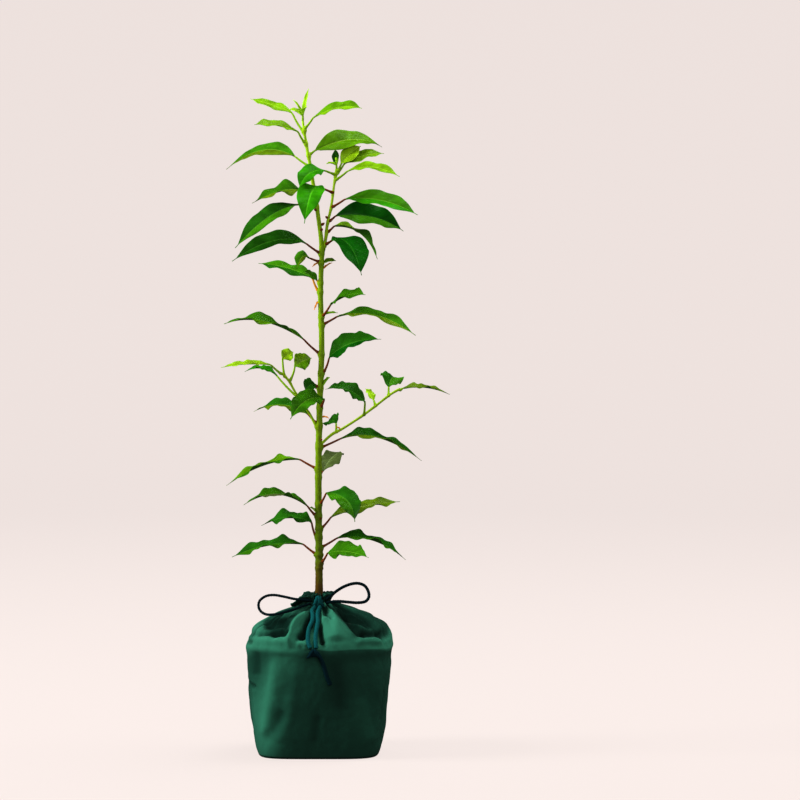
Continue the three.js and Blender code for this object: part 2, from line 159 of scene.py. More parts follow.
# Skins a row of rings of points in mm, and closes both ends with a fan. uvs has one point more to a ring,
# and one ring more on a closed row. Returns points, faces and the corners' uvs.
def skin(rings, uvs=None, closedRow=False):
    rings = np.array(rings)
    count, sides = rings.shape[:2]
    if uvs is None:
        uvs = np.zeros((count, sides + 1, 2))
    points = rings.reshape(-1, 3)
    ring, step = np.arange(count if closedRow else count - 1)[:, None], np.arange(sides)[None, :]
    following, across = (ring + 1) % count * sides, (step + 1) % sides
    faces = np.stack([ring * sides + step, ring * sides + across, following + across, following + step],
                     axis=-1)
    corners = np.stack([uvs[ring, step], uvs[ring, step + 1], uvs[ring + 1, step + 1], uvs[ring + 1, step]],
                       axis=2)
    a, b, c, d = (points[faces[:, :, k]] for k in range(4))
    inward = (a * np.cross(b - d, c)).sum() < 0
    faces, corners = faces.reshape(-1, 4).tolist(), corners.reshape(-1, 4, 2).tolist()
    if not closedRow:
        for last, way in ((0, -1), (count - 1, 1)):
            centre = len(points)
            points = np.vstack([points, rings[last].mean(axis=0)])
            for s in range(sides):
                faces.append([centre] + [last * sides + s, last * sides + (s + 1) % sides][::way])
                corners.append([uvs[last, s]] * 3)
    if inward:
        faces, corners = [face[::-1] for face in faces], [corner[::-1] for corner in corners]
    return points, faces, corners


def newObject(name, points, faces, materials):
    mesh = bpy.data.meshes.new(name)
    mesh.from_pydata(points.tolist(), [], faces)
    mesh.polygons.foreach_set("use_smooth", [True] * len(faces))
    for material in materials:
        mesh.materials.append(material)
    item = bpy.data.objects.new(name, mesh)
    bpy.context.collection.objects.link(item)
    return item


# Makes one piece of several skins, given as (points, faces, corners, slot of each face or of all).
def makePiece(name, skins, materials, node=None, shades=None):
    points, faces, corners, slots = np.zeros((0, 3)), [], [], []
    for part, partFaces, partCorners, partSlots in skins:
        faces += [[i + len(points) for i in face] for face in partFaces]
        points = np.vstack([points, part * mm])
        corners += [spot for corner in partCorners for spot in corner]
        slots += [partSlots] * len(partFaces) if isinstance(partSlots, int) else partSlots
    piece = newObject(name, points, faces, materials)
    mesh = piece.data
    mesh.uv_layers.new(name="UVMap").data.foreach_set("uv", np.array(corners, np.float32).ravel())
    mesh.polygons.foreach_set("material_index", slots)
    mesh.update()
    if shades is not None:
        mesh.attributes.new("shade", "FLOAT", "POINT").data.foreach_set("value", np.array(shades, np.float32))
    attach(piece, "root")
    if node:
        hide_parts(node)
    return piece


def camel(node):
    first, *others = node.split("_")
    return first + "".join(word.capitalize() for word in others)


# The smooth line that limbs and cords follow: the points as given, with even steps between them.
def between(before, a, b, after, w):
    start, end = 0.5 * (b - before), 0.5 * (after - a)
    return (a + start * w + (-3 * a + 3 * b - 2 * start - end) * w ** 2
            + (2 * a - 2 * b + start + end) * w ** 3)


def curvePoint(points, u):
    last = len(points) - 1
    place = min(max(u, 0), 1) * last
    i = min(int(place), last - 1)
    before = points[i - 1] if i > 0 else 2 * points[0] - points[1]
    after = points[i + 2] if i + 2 <= last else 2 * points[last] - points[last - 1]
    return between(before, points[i], points[i + 1], after, place - i)


def curve(points, us):
    return np.array([curvePoint(points, u) for u in us])


def curveTangent(points, u):
    return unit(curvePoint(points, min(u + 1e-4, 1)) - curvePoint(points, max(u - 1e-4, 0)))


# Drawstring: thickness and route of each cord in metres, from the knot outwards, and what holds its far end.
drawstring = {
    "lay": 5.2, "sides": 14, "step": 0.7,  # lay and step in mm
    # The loops and the end knot take darker copies of the same cord's teal than the tails: painted shade.
    "colours": [("cordLoops", "#020A0C", "#04181C"), ("cordTails", "#062C2E", "#0E4E4E"),
                ("cordEnd", "#020E12", "#06242A")],
    "cords": {
        "drawstring_loop_left": (0.0026, "object", [
            (-0.0076, -0.0256, 0.1534), (-0.014, -0.0256, 0.1542), (-0.024, -0.024, 0.155),
            (-0.034, -0.022, 0.157), (-0.044, -0.021, 0.1586), (-0.052, -0.021, 0.1576),
            (-0.058, -0.022, 0.1536), (-0.0596, -0.024, 0.1484), (-0.0575, -0.027, 0.1434),
            (-0.052, -0.031, 0.1404), (-0.044, -0.035, 0.1406), (-0.034, -0.037, 0.1428),
            (-0.024, -0.0355, 0.1456), (-0.015, -0.0315, 0.1486), (-0.0076, -0.0276, 0.1508)]),
        "drawstring_loop_right": (0.003, "object", [
            (0.0076, -0.0256, 0.1546), (0.012, -0.026, 0.158), (0.018, -0.026, 0.163),
            (0.025, -0.025, 0.1672), (0.033, -0.024, 0.17), (0.04, -0.0235, 0.1704),
            (0.046, -0.024, 0.168), (0.0495, -0.025, 0.1626), (0.05, -0.027, 0.157),
            (0.0465, -0.03, 0.153), (0.039, -0.032, 0.152), (0.03, -0.0325, 0.1526),
            (0.021, -0.031, 0.1532), (0.014, -0.0286, 0.1526), (0.0076, -0.0266, 0.1514)]),
        "drawstring_end_left": (0.0042, "knot", [
            (-0.003, -0.0276, 0.1476), (-0.006, -0.034, 0.1442), (-0.0052, -0.043, 0.1402),
            (-0.0056, -0.052, 0.1356), (-0.0084, -0.06, 0.1294), (-0.0094, -0.0666, 0.1226),
            (-0.0088, -0.0714, 0.116), (-0.0066, -0.074, 0.1109)]),
        "drawstring_end_right": (0.0042, "knot", [
            (0.002, -0.0276, 0.1476), (0, -0.035, 0.1438), (-0.0006, -0.0435, 0.14), (0, -0.0525, 0.1352),
            (-0.001, -0.0606, 0.129), (-0.0018, -0.067, 0.1222), (-0.0016, -0.0716, 0.116),
            (-0.001, -0.0742, 0.1109)]),
    },
}


def twistedCordMaterial(name, dark, light):
    # Matt twisted cotton cord, dyed dark teal: near black in the shade, with soft blue-green on its lit side.
    material, tree = newMaterial(name, {"Roughness": 0.85, "Specular IOR Level": 0.06})
    fibre = grained(tree, placesOf(tree)["Object"], 1500, 3)
    return dressed(material, mixed(tree, fibre, linear(dark), linear(light)), fibre, 0.3)


def evenLine(points):  # the smooth line through points in mm, in even steps, and its length
    fine = curve(points, np.arange(601) / 600)
    run = runAlong(fine)
    even = np.linspace(0, run[-1], max(2, round(run[-1] / drawstring["step"])) + 1)
    return np.stack([np.interp(even, run, fine[:, k]) for k in range(3)], axis=1), run[-1]


# A cord of two strands laid round each other, as one skin. The frame of its rings rides along untwisted.
def twistedCord(line, diameter, taperEnds=True):
    along, run, angle = unit(np.gradient(line, axis=0)), runAlong(line), rounds(drawstring["sides"])
    side = np.cross(along[0], [0, 0, 1] if abs(along[0][2]) < 0.9 else [1, 0, 0])
    lobes = np.abs(np.cos(angle - 2 * np.pi * run[:, None] / drawstring["lay"])) ** 0.8
    radius = diameter / 2 * (0.83 + 0.22 * lobes)
    if taperEnds:
        radius[[0, -1]] *= 0.75
    rings = []
    for centre, direction, reach in zip(line, along, radius):
        side = unit(side - direction * side.dot(direction))
        rings.append(centre + reach[:, None] * circle(angle, side, np.cross(side, direction)))
    return (*skin(rings, uvGrid(run / 10, np.linspace(0, 1, len(angle) + 1))), 0)


def makeCords():
    materials = [twistedCordMaterial(*colours) for colours in drawstring["colours"]]
    for node, (diameter, farEnd, route) in drawstring["cords"].items():
        line, length = evenLine(np.array(route) * 1000)
        cord = makePiece(camel(node), [twistedCord(line, diameter / mm)], [materials["end" in node]], node)
    print("drawstring laid")
    return materials


cordMaterials = makeCords()


# Knots, of the same cord wound round and pulled tight, in mm: middle, half size, the share of it that the
# heart fills, and each turn's shift, lean, sway and height in half sizes.
knots = {
    "drawstring_knot": {
        "at": (0, -25, 152.5), "half": (6.5, 3.6, 5), "heart": 0.72, "cord": 3.22, "colour": 1,
        "turns": [(-0.42, 0.25, 0.3, 0.78), (0.4, -0.22, -0.4, 0.74), (0, 0.1, 0.5, 0.86)]},
    "drawstring_end_knot": {
        "at": (-3, -76.6, 106), "half": (8, 3.2, 4.8), "heart": 0.7, "cord": 2.8, "colour": 2,
        "turns": [(-0.4, 0.3, 0.2, 0.72), (0.35, -0.3, -0.2, 0.72)], "looseCord": 4.2,
        "looseEnd": [(1, -75.8, 105), (4, -74.8, 99.5), (6.5, -74.4, 93.5), (9.5, -73.8, 83), (13, -73, 75)]},
}


def knotTurn(at, half, shift, lean, sway, high):  # one closed turn of cord round the knot
    angle, steps = rounds(10), 44
    points = at + half * np.stack([shift + lean * np.sin(angle) + 0.2 * sway * np.cos(2 * angle),
                                   -0.62 * np.cos(angle), high * np.sin(angle)], axis=1)
    line = []
    for i in range(steps):
        k, w = divmod(i / steps * len(points), 1)
        line.append(between(*(points[(int(k) + j) % len(points)] for j in (-1, 0, 1, 2)), w))
    return np.array(line + [line[0]])


def makeKnots():
    for node, knot in knots.items():
        at, half = rows(*knot["at"]), rows(*knot["half"])
        ball = [rows(math.cos(tilt), 0, 0) + math.sin(tilt) * circle(rounds(18), rows(0, 1, 0), up)
                for tilt in np.pi * np.arange(1, 12) / 12]
        skins = [(*skin([at + knot["heart"] * half * ring for ring in ball]), 0)]
        skins += [twistedCord(knotTurn(at, half, *turn), knot["cord"], False) for turn in knot["turns"]]
        if "looseEnd" in knot:
            skins.append(twistedCord(evenLine(rows(*knot["looseEnd"]))[0], knot["looseCord"]))
        makePiece(camel(node), skins, [cordMaterials[knot["colour"]]], node)
    print("knots tied")


makeKnots()


# Limbs: the line of the middle in mm, the radius at the foot and at the tip, as in the part's source.
limbs = {
    "trunk": {
        "way": [[0, 0, 150.3], [0, 0.5, 200], [-0.6, 0, 270], [0.6, -1, 340], [2.8, -0.5, 405], [1.6, 1, 460],
                [2.8, 1, 503], [-1, 1.5, 538], [-6, 2.5, 570], [-11, 3.5, 599], [-14.2, 4, 617],
                [-16, 4.5, 631]],
        "radius": (3.7, 1.1), "flare": (1.7, 7), "slot": "stem_bark", "sides": 28, "stations": 400,
    },
    "right_leader": {
        "from": "trunk", "at": 504, "toward": 0,
        "way": [[7.2, 1, 516], [8.6, 1, 528], [12.4, 2, 545], [15, 4, 565], [17.6, 6, 583]],
        "radius": (1.7, 1), "slot": "green_twig", "sides": 20, "stations": 110,
    },
    "left_twig": {
        "from": "trunk", "at": 326, "toward": 196,
        "way": [[-9, -3.5, 338], [-16, -6, 348], [-24, -8, 361], [-29.5, -9.5, 371], [-36.5, -11, 379.5]],
        "radius": (1.3, 1), "slot": "green_twig", "sides": 18, "stations": 90,
    },
    "right_twig": {
        "from": "trunk", "at": 309, "toward": 12,
        "way": [[13, 4, 317.5], [22.5, 6.5, 322.5], [42, 10, 335], [57.5, 12, 346.5], [71, 13, 357],
                [81, 14, 363]],
        "radius": (1.35, 1), "slot": "green_twig", "sides": 18, "stations": 120,
    },
}
clearance = 0.3
tableSteps = 240


def heading(degrees):
    return rows(math.cos(math.radians(degrees)), math.sin(math.radians(degrees)), 0)


def limbRadius(limb, u, z):
    flare = 0
    if "flare" in limb:
        flare = limb["flare"][0] * math.exp(-(z - limb["points"][0][2]) / limb["flare"][1])
    return limb["radius"][0] + (limb["radius"][1] - limb["radius"][0]) * u + flare


def limbPlace(limb, z):  # middle, direction and radius of a limb at a height
    points, heights = limb["points"], limb["heights"]
    above = int(np.argmax(heights >= z)) if (heights >= z).any() else tableSteps
    i = min(max(above, 1), tableSteps)
    u = (i - 1 + np.clip((z - heights[i - 1]) / (heights[i] - heights[i - 1]), 0, 1)) / tableSteps
    return curvePoint(points, u), curveTangent(points, u), limbRadius(limb, u, z)


def leaveLimb(limb, at, direction):  # where something leaves a limb, and the way it points
    middle, tangent, radius = limbPlace(limb, at)
    out = unit(direction - tangent * direction.dot(tangent))
    return middle + out * (radius + clearance), out


def prepareLimbs():
    for limb in limbs.values():
        limb["points"] = [rows(*point) for point in limb["way"]]
        if "from" in limb:
            start, limb["out"] = leaveLimb(limbs[limb["from"]], limb["at"], heading(limb["toward"]))
            limb["points"].insert(0, start)
        limb["heights"] = curve(limb["points"], np.arange(tableSteps + 1) / tableSteps)[:, 2]


prepareLimbs()


# How a blade bends: the height of its arch and where that crests, its roll and twist in degrees, how far its
# margins ripple in mm and where they pinch, and the angle of its cup.
def curl(arch, roll, twist=0, wave=2.5, pinch=0.5, crest=0.5, cup=12):
    return dict(arch=arch, roll=roll, twist=twist, wave=wave, pinch=pinch, crest=crest, cup=cup)


# Leaves of each limb from the lowest up: height where the stalk leaves the limb, the stalk's direction, reach
# and rise, the blade's direction, reach, drop and width, its curl and its looks. Directions are degrees from
# +X, with 90 to the back. Looks name the upper face's back and front half, then the stalk if it isn't red and
# the underside if it isn't green.
# The two halves of one upper face often take different classes: painted light and shade on each half, on top
# of each leaf's own tone.
leaves = {
    "stem_leaf": ("trunk", [
        (190, (-36, 11, 10), (-35, 50, 3, 27), curl(3, 52, twist=-44), "mid mid"),
        (198, (166, 17, 10), (166, 74, 15, 27), curl(5, 2, twist=36, wave=3, pinch=0.53), "dark mid"),
        (205, (20, 20, 9), (14, 70, 24, 28), curl(9, 13, wave=2.8, pinch=0.48, crest=0.55), "dark mid"),
        (216, (155, 8, 14), (164, 53, 5, 27), curl(6, 19, wave=3.6, pinch=0.38), "dark dark"),
        (224, (28, 14, 11), (34, 83, -12, 26), curl(3, 14, twist=8, wave=3.2, pinch=0.54), "olive olive"),
        (237, (196, 12, 10), (192, 64, -1, 26), curl(11, 10, wave=2.4, pinch=0.32), "mid grey"),
        (249, (-48, 12, 11), (-50, 45, 27, 27), curl(13, 20, crest=0.95), "dark mid"),
        (284, (168, 20, 9), (166, 76, 28, 24), curl(7, 3, twist=20, wave=2.6), "leaf mid"),
        (276, (70, 11, 4), (68, 46, -18, 28), curl(3, 0, wave=3), "grey grey red grey"),
        (305, (14, 24, 9), (14, 82, 24, 27), curl(11, 17, wave=2.4, pinch=0.55, crest=0.45), "dark olive"),
        (329, (152, 13, 9), (144, 69, -1, 25), curl(8, 20, pinch=0.4), "dark olive"),
        (345.5, (300, 10, 8), (218, 42, 19.5, 26), curl(9, 32, crest=0.6), "mid mid"),
        (365, (205, 6, 3), (215, 12, 6, 17), curl(2, 40, wave=1), "dark dark"),
        (380, (-24, 9, 15), (-22, 56, -18, 34), curl(6, 58, twist=-43, wave=1.5, crest=0.36), "dark deep"),
        (399, (188, 19, 15), (190, 79, -14, 25), curl(10, 15, wave=3.4, pinch=0.25, crest=0.56), "mid leaf"),
        (428, (-10, 17, 8), (-30, 89, 19, 23), curl(10, 15, twist=8), "mid olive"),
        (436, (-44, 14, 12), (-44, 48, -9, 24), curl(4, 30), "mid mid"),
        (461, (152, 9, 13), (142, 71, -15, 21), curl(3, 22, cup=8), "mid dark amber"),
        (470, (145, 4, 1), (190, 14, -9, 11), curl(2, 40, wave=1), "mid mid amber"),
        (490, (195, 13, 4), (205, 13, 11, 19), curl(7, 20, wave=1, crest=0.6), "mid olive"),
        (499, (196, 17, 10), (204, 78, 19, 28), curl(10, 32, wave=1.5, crest=0.42), "dark dark"),
        (546, (202, 22, 1), (210, 68, 44, 27), curl(7, 27, wave=1.5), "dark mid"),
        (560, (188, 15, 2), (192, 48, 14, 26), curl(4, 50, twist=-50, wave=3.5, crest=0.4), "mid olive"),
        (586, (160, 17, 10), (150, 81, 12, 27), curl(12, 32, wave=0.8, crest=0.48, cup=6), "mid olive green"),
        (597, (20, 7, 4), (25, 74, -5, 30), curl(9, 54, twist=-36, wave=1.5, crest=0.6), "leaf leaf green"),
        (609, (210, 9, 11), (210, 49, -5, 20), curl(3, 26, wave=1.5, crest=0.6), "lime lime green fresh"),
        (621, (155, 13, 18), (155, 47, -15, 17), curl(1, 22, wave=1, crest=0.6, cup=6),
         "lime lime green fresh"),
        (623, (-28, 11, 11), (-30, 56, -7, 22), curl(5, 32, wave=1.5, crest=0.6), "leaf lime green fresh")]),
    "leader_leaf": ("right_leader", [
        (508, (-24, 12, 6), (-63, 58, 38, 36), curl(12, 0, crest=0.72), "deep deep"),
        (520, (30, 9, 6), (33, 51, 33, 27), curl(13, 12, crest=0.72), "lime olive"),
        (531, (20, 8, 5), (15, 70, 15, 32), curl(7, 50, crest=0.6, cup=18), "deep mid"),
        (545, (-12, 15, 8), (-18, 75, 17, 30), curl(6, 30, wave=1.5, crest=0.55), "mid bright"),
        (559, (222, 20, 6), (253, 42, 38, 29), curl(11, 6, crest=0.6), "bright bright"),
        (572, (-18, 14, 9), (-24, 56, 7, 20), curl(6, 24, wave=1.5), "lime lime green fresh"),
        (577, (212, 13, 4), (228, 36, 19, 21), curl(8, 28, crest=0.78), "bright bright green"),
        (578, (25, 9, 10), (22, 43, -11, 21), curl(3, 28, wave=1.5), "lime lime green fresh"),
        (581, (10, 5, 7), (28, 22, -18, 17), curl(2, 50, wave=1), "young young green fresh")]),
    "left_twig_leaf": ("left_twig", [
        (357, (155, 24, 21), (162, 33, -2, 14), curl(5, 14, wave=1), "bright bright green"),
        (371, (20, 6, 15), (12, 17, -8, 20), curl(1, 60, wave=2, pinch=0.55), "lime leaf green"),
        (376, (120, 5, 17), (30, 12, -7, 15), curl(1, 56, wave=2), "young young green fresh"),
        (379, (182, 12, 9), (200, 51, 3, 16), curl(2, 14, wave=0.6), "young young green fresh")]),
    "right_twig_leaf": ("right_twig", [
        (320, (100, 4, 9), (120, 20, 2, 20), curl(3, 36, wave=1.5), "dark dark green"),
        (337, (276, 12, 14), (196, 41, -12, 26), curl(6, 58, twist=-62, wave=1), "dark dark green"),
        (346, (120, 4, 5), (160, 9, -12, 11), curl(1, 20, wave=1), "young young green fresh"),
        (356, (90, 5, 9), (80, 34, -8, 24), curl(4, 20), "dark mid green"),
        (362.5, (12, 4, 1), (25, 52, 7, 16), curl(4, 14, wave=1), "olive olive green")]),
}

# The fine leaf: stations along the stalk and the blade, points across one face from margin to midrib, and the
# relief of the midrib, the side veins and the margin. Lengths in mm.
leafForm = {
    "stalk": 12, "join": 9, "blade": 66,
    "across": (1, 0.985, 0.94, 0.86, 0.74, 0.6, 0.46, 0.32, 0.2, 0.11, 0.045),
    "stalkStop": 0.82, "bladeStart": 0.045, "stalkRadius": (1.15, 0.85), "stalkFoot": 0.55, "sunk": 1.3,
    "thickness": 0.5, "midrib": 0.85, "groove": 0.32, "veins": 9, "veinLean": 1.15, "quilt": 0.26,
    "edgeWave": 0.8, "tooth": 0.14, "teeth": 19,
}
stalkTexture, stalkShare = 0.1, 0.09  # where the texture and the share of the blade stand at the stalk's top
halfAcross = rows(*leafForm["across"])
sectionAcross = np.concatenate([-halfAcross, [0], halfAcross[::-1], halfAcross[1:], [0], -halfAcross[:0:-1]])
topFaces = 2 * len(halfAcross)
isTop = np.arange(len(sectionAcross)) <= topFaces


def bezier(a, b, c, u):
    return a * (1 - u) ** 2 + b * 2 * u * (1 - u) + c * u * u


def bezierWay(a, b, c, u, step):
    return unit(bezier(a, b, c, u + step) - bezier(a, b, c, u - step))


def turned(vector, axis, degrees):
    angle = math.radians(degrees)
    return (vector * math.cos(angle) + np.cross(axis, vector) * math.sin(angle)
            + axis * axis.dot(vector) * (1 - math.cos(angle)))


# Half of the blade's width as a share of its greatest, from the base to the drawn-out tip.
def outline(u):
    body = math.sin(math.pi * min(u / 0.955, 1) ** 0.9)
    return max(max(body, 0) ** 0.95, 0.13 * max(1 - u, 0) ** 0.6, 0.02)


# One place on a blade: middle, way along, side, half width, and how far each margin ripples.
def bladePlace(base, blade, shape, u):
    toward, reach, drop, width = blade
    ahead, crest = heading(toward), shape["crest"]
    tip = base + ahead * reach - up * drop
    bend = base + ahead * reach * crest + up * (2 * shape["arch"] - drop * crest)
    facing = -1 if ahead[0] < 0 else 1
    along = bezierWay(base, bend, tip, u, 0.01)
    flat = np.cross(ahead, up)
    roll = facing * (shape["roll"] + shape["twist"] * u)
    side = turned(unit(flat - along * flat.dot(along)), along, roll)
    ripple = -facing * shape["wave"] * outline(u) * math.cos(4 * math.pi * (u - shape["pinch"]))
    return bezier(base, bend, tip, u), along, side, width / 2 * outline(u), ripple


# One section of a leaf at a place: middle, way along, side, half width, ripple, mix, share of the blade, and
# radius of the stalk. mix goes from 0 on the round stalk to 1 on the flat blade.
def leafSection(place, cup, phases, wild):
    centre, along, side, half, ripple, mix, u, stalkRadius = place
    size, sign = np.abs(sectionAcross), np.sign(sectionAcross)
    small = min(1, half / 9) ** 1.5
    margin = leafForm["tooth"] * wild * mix * (0.5 - (u * leafForm["teeth"] + 0.25 * sign) % 1)
    edge = max(half * math.cos(cup), 0.35) + margin * small
    x = sectionAcross * (stalkRadius + (edge - stalkRadius) * mix)
    thick = stalkRadius * (1 - mix) + leafForm["thickness"] / 2 * mix * (1 - 0.35 * u)
    power = 2 + 6 * mix
    body = thick * np.maximum(1 - size ** power, 0) ** (1 / power)
    lift = half * math.sin(cup) * (1.5 * size - 0.5 * size ** 2) - sign * ripple * size ** 1.6
    waves = sum(np.sin(2 * np.pi * (k * u) + phases[i] + sign * phases[i + 2]) / (i + 1)
                for i, k in enumerate((4.3, 7.1)))
    lift += leafForm["edgeWave"] * wild * waves * size ** 3 * small
    vein = np.abs(np.sin(np.pi * (leafForm["veins"] * u - leafForm["veinLean"] * size ** 1.2)))
    lift += leafForm["quilt"] * (vein ** 0.6 - 0.6) * np.clip(size / 0.1, 0, 1) * (1 - size ** 3) * small
    rib = leafForm["midrib"] * (1 - u) ** 0.7 * mix * np.exp(-(x / (0.9 - 0.4 * u)) ** 2)
    groove = leafForm["groove"] * (1 - u) ** 0.5 * mix * np.exp(-(x / 0.6) ** 2)
    height = lift * mix + np.where(isTop, body - groove, -body - rib)
    return centre + side * x[:, None] + unit(np.cross(side, along)) * height[:, None]


# Skins a leaf through its places. slots: the two halves of the upper face, underside, stalk.
def leafThrough(places, cup, seed, wild, slots, stalkRings=0):
    draw = random.Random(seed)
    phases = [draw.uniform(0, 6.283) for _ in range(4)]
    rings = [leafSection(place, math.radians(cup), phases, wild) for place in places]
    us = [stalkTexture * u / stalkShare if mix == 0 else stalkTexture + (1 - stalkTexture) * u
          for *_, mix, u, radius in places]
    uvs = uvGrid(us, 0.5 + 0.5 * np.append(sectionAcross, sectionAcross[0]))
    sides, halfTop = len(sectionAcross), topFaces // 2
    bladeSlots = [slots[0]] * halfTop + [slots[1]] * halfTop + [slots[2]] * (sides - topFaces)
    faceSlots = [slots[3]] * sides * stalkRings + bladeSlots * (len(places) - 1 - stalkRings)
    return (*skin(rings, uvs), faceSlots + [slots[3]] * sides + [slots[2]] * sides)


def leafSkin(limb, at, stalk, blade, shape, seed):
    toward, reach, rise = stalk
    ahead = heading(toward)
    start, out = leaveLimb(limb, at, ahead)
    base = limbPlace(limb, at)[0] + ahead * reach + up * rise
    knee = (start + base) / 2 + ahead * 0.12 * rise
    (foot, top), swell = leafForm["stalkRadius"], leafForm["stalkFoot"]
    stop, bladeStart = leafForm["stalkStop"], leafForm["bladeStart"]
    flat = np.cross(ahead, up)

    def stalkPlace(s):
        along = out if s <= 0 else bezierWay(start, knee, base, s, 0.02)
        return bezier(start, knee, base, s), along, unit(flat - along * flat.dot(along))

    places = [(start - out * leafForm["sunk"], out, stalkPlace(0)[2], 0, 0, 0, 0, foot + swell)]
    stalkRun = np.linalg.norm(base - start)
    for s in stop * np.arange(leafForm["stalk"] + 1) / leafForm["stalk"]:
        radius = foot + (top - foot) * s + swell * math.exp(-(s * stalkRun / 2.2) ** 2)
        places.append((*stalkPlace(s), 0, 0, 0, stalkShare * s, radius))
    first, then = stalkPlace(stop), bladePlace(base, blade, shape, bladeStart)
    gap = np.linalg.norm(then[0] - first[0])
    for w in np.arange(1, leafForm["join"] + 1) / (leafForm["join"] + 1):
        centre = (first[0] * (2 * w ** 3 - 3 * w ** 2 + 1) + first[1] * gap * (w ** 3 - 2 * w ** 2 + w)
                  + then[0] * (3 * w ** 2 - 2 * w ** 3) + then[1] * gap * (w ** 3 - w ** 2))
        along = unit(first[1] * (1 - w) + then[1] * w)
        side = first[2] * (1 - w) + then[2] * w
        side = unit(side - along * side.dot(along))
        places.append((centre, along, side, then[3] * w, then[4] * w, smooth(0, 1, w), bladeStart * w, top))
    for i in range(leafForm["blade"] + 1):
        w = i / leafForm["blade"]
        u = bladeStart + (1 - bladeStart) * (w - 0.06 * math.sin(2 * math.pi * w) / math.pi)
        places.append((*bladePlace(base, blade, shape, u), 1, u, top))
    wild = 0.3 + 0.9 * float(smooth(500, 340, base[2]))  # the low leaves are older, with wavier margins
    stalkRings = leafForm["stalk"] + 1 + leafForm["join"] // 2
    return leafThrough(places, shape["cup"], seed, wild, (0, 1, 2, 3), stalkRings)


# A young blade without a stalk. slots: the two halves of the upper face, underside.
def youngBlade(base, blade, shape, seed, slots, stations=30, thickness=0.5):
    places = []
    for i in range(stations + 1):
        u = 0.004 + 0.996 * i / stations
        places.append((*bladePlace(base, blade, shape, u), float(smooth(-0.02, 0.12, u)), u, thickness))
    return leafThrough(places, shape["cup"], seed, 0.4, (*slots, slots[2]))


# Leaf colours: body and ribs of the upper face and of the underside, and the stalk.
# The lime and young classes and the bright underside class of young leaves are partly their real pale green
# and partly painted light shining through them.
leafColours = {
    "upper": {
        "deep": ("#0A4606", "#2A6A18"), "dark": ("#1A4A08", "#3A6A1E"), "mid": ("#2C5C06", "#548020"),
        "bright": ("#266A04", "#54A01E"), "leaf": ("#446C04", "#74942A"), "olive": ("#465E06", "#74883A"),
        "lime": ("#567A06", "#86A82C"), "young": ("#7CA210", "#A2C83A"), "grey": ("#3C4824", "#606E44")},
    "under": {
        "grey": ("#465A30", "#70805A"), "green": ("#346A12", "#649830"), "fresh": ("#90C41C", "#B4DC50")},
    "stalk": {"red": "#6A3410", "amber": "#B07810", "green": "#7CA412", "papery": "#D08818"},
}
leafMaterials = {}


def leafMaterial(name, body, rib, gloss):
    # Leathery evergreen leaf: waxed skin over a quilted blade, with pale ribs, so it takes soft gleams.
    # Its grain is about 0.3 mm wide, too fine to show here, so it is drawn 3 mm wide.
    material, tree = newMaterial(name, {
        "Roughness": 0.36 if gloss else 0.6, "Specular IOR Level": 0.2 if gloss else 0.06,
        "Specular Tint": (0.7, 1, 0.6, 1)})
    place = placesOf(tree)
    uv = addNode(tree, "ShaderNodeSeparateXYZ", {0: place["UV"]}).outputs
    along = ranged(tree, uv["X"], stalkTexture, 1)
    size = reckoned(tree, "ABSOLUTE", reckoned(tree, "MULTIPLY_ADD", uv["Y"], 2, -1))
    lean = reckoned(tree, "MULTIPLY", reckoned(tree, "POWER", size, 1.2), -leafForm["veinLean"])
    phase = reckoned(tree, "MULTIPLY_ADD", along, leafForm["veins"], lean)
    vein = ranged(tree, reckoned(tree, "PINGPONG", phase, 0.5), 0, 0.07, 1, 0)
    midrib, margin = ranged(tree, size, 0.03, 0.08, 1, 0), ranged(tree, size, 0.96, 1, 0, 0.5)
    lines = reckoned(tree, "MAXIMUM", reckoned(tree, "MULTIPLY", vein, 0.12),
                     reckoned(tree, "MULTIPLY", midrib, 0.55))
    lines = reckoned(tree, "MAXIMUM", lines, margin)
    mottle = ranged(tree, grained(tree, place["Object"], 90, 1.5), 0.35, 0.65)
    ground = mixed(tree, mottle, linear(body, 0.76), linear(body, 1.2))
    relief = reckoned(tree, "MULTIPLY_ADD", vein, -1.5, grained(tree, place["Object"], 330, 1))
    return dressed(material, mixed(tree, lines, ground, linear(rib)), relief, 0.04)


def stalkMaterial(name, colour):
    # Leaf stalk: smooth thin skin, red-brown where the sun reaches it.
    material, tree = newMaterial(name, {"Roughness": 0.45, "Specular IOR Level": 0.1})
    streak = grained(tree, placesOf(tree)["Object"], 260, 3)
    return dressed(material, mixed(tree, streak, linear(colour, 0.6), linear(colour)))


def leafMaterialsFor(*look):  # the two halves of the upper face, underside, stalk
    made = []
    for kind, shade in zip(("upper", "upper", "under", "stalk"), look):
        name = "leaf" + kind.capitalize() + shade.capitalize()
        if name not in leafMaterials:
            colours = leafColours[kind][shade]
            leafMaterials[name] = stalkMaterial(name, colours) if kind == "stalk" \
                else leafMaterial(name, *colours, kind == "upper")
        made.append(leafMaterials[name])
    return made


def makeLeaves():
    seed = 0
    for group, (limb, table) in leaves.items():
        for number, (at, stalk, blade, shape, looks) in enumerate(table, 1):
            node = f"{group}_{number:02d}"
            look = looks.split()
            back, front, stem, under = look + ["red", "green"][len(look) - 2:]
            if heading(blade[0])[0] < 0:
                back, front = front, back
            leaf = leafSkin(limbs[limb], at, stalk, blade, shape, seed)
            makePiece(camel(node), [leaf], leafMaterialsFor(back, front, under, stem), node)
            seed += 1
    print("leaves grown:", seed)


makeLeaves()


# Young tips: the blades grow from one short stem, in the leaves' terms.
tips = {
    "stem_tip": {"from": "trunk", "height": 9,
                 "blades": [(20, 6, -28, 5.5), (190, 14, -6, 9), (150, 11, -15, 3), (300, 8, -6, 8)]},
    "leader_tip": {"from": "right_leader", "height": 6, "dark": 0,
                   "blades": [(100, 9, -17, 8), (200, 11, -1, 4), (270, 8, -6, 4)]},
}
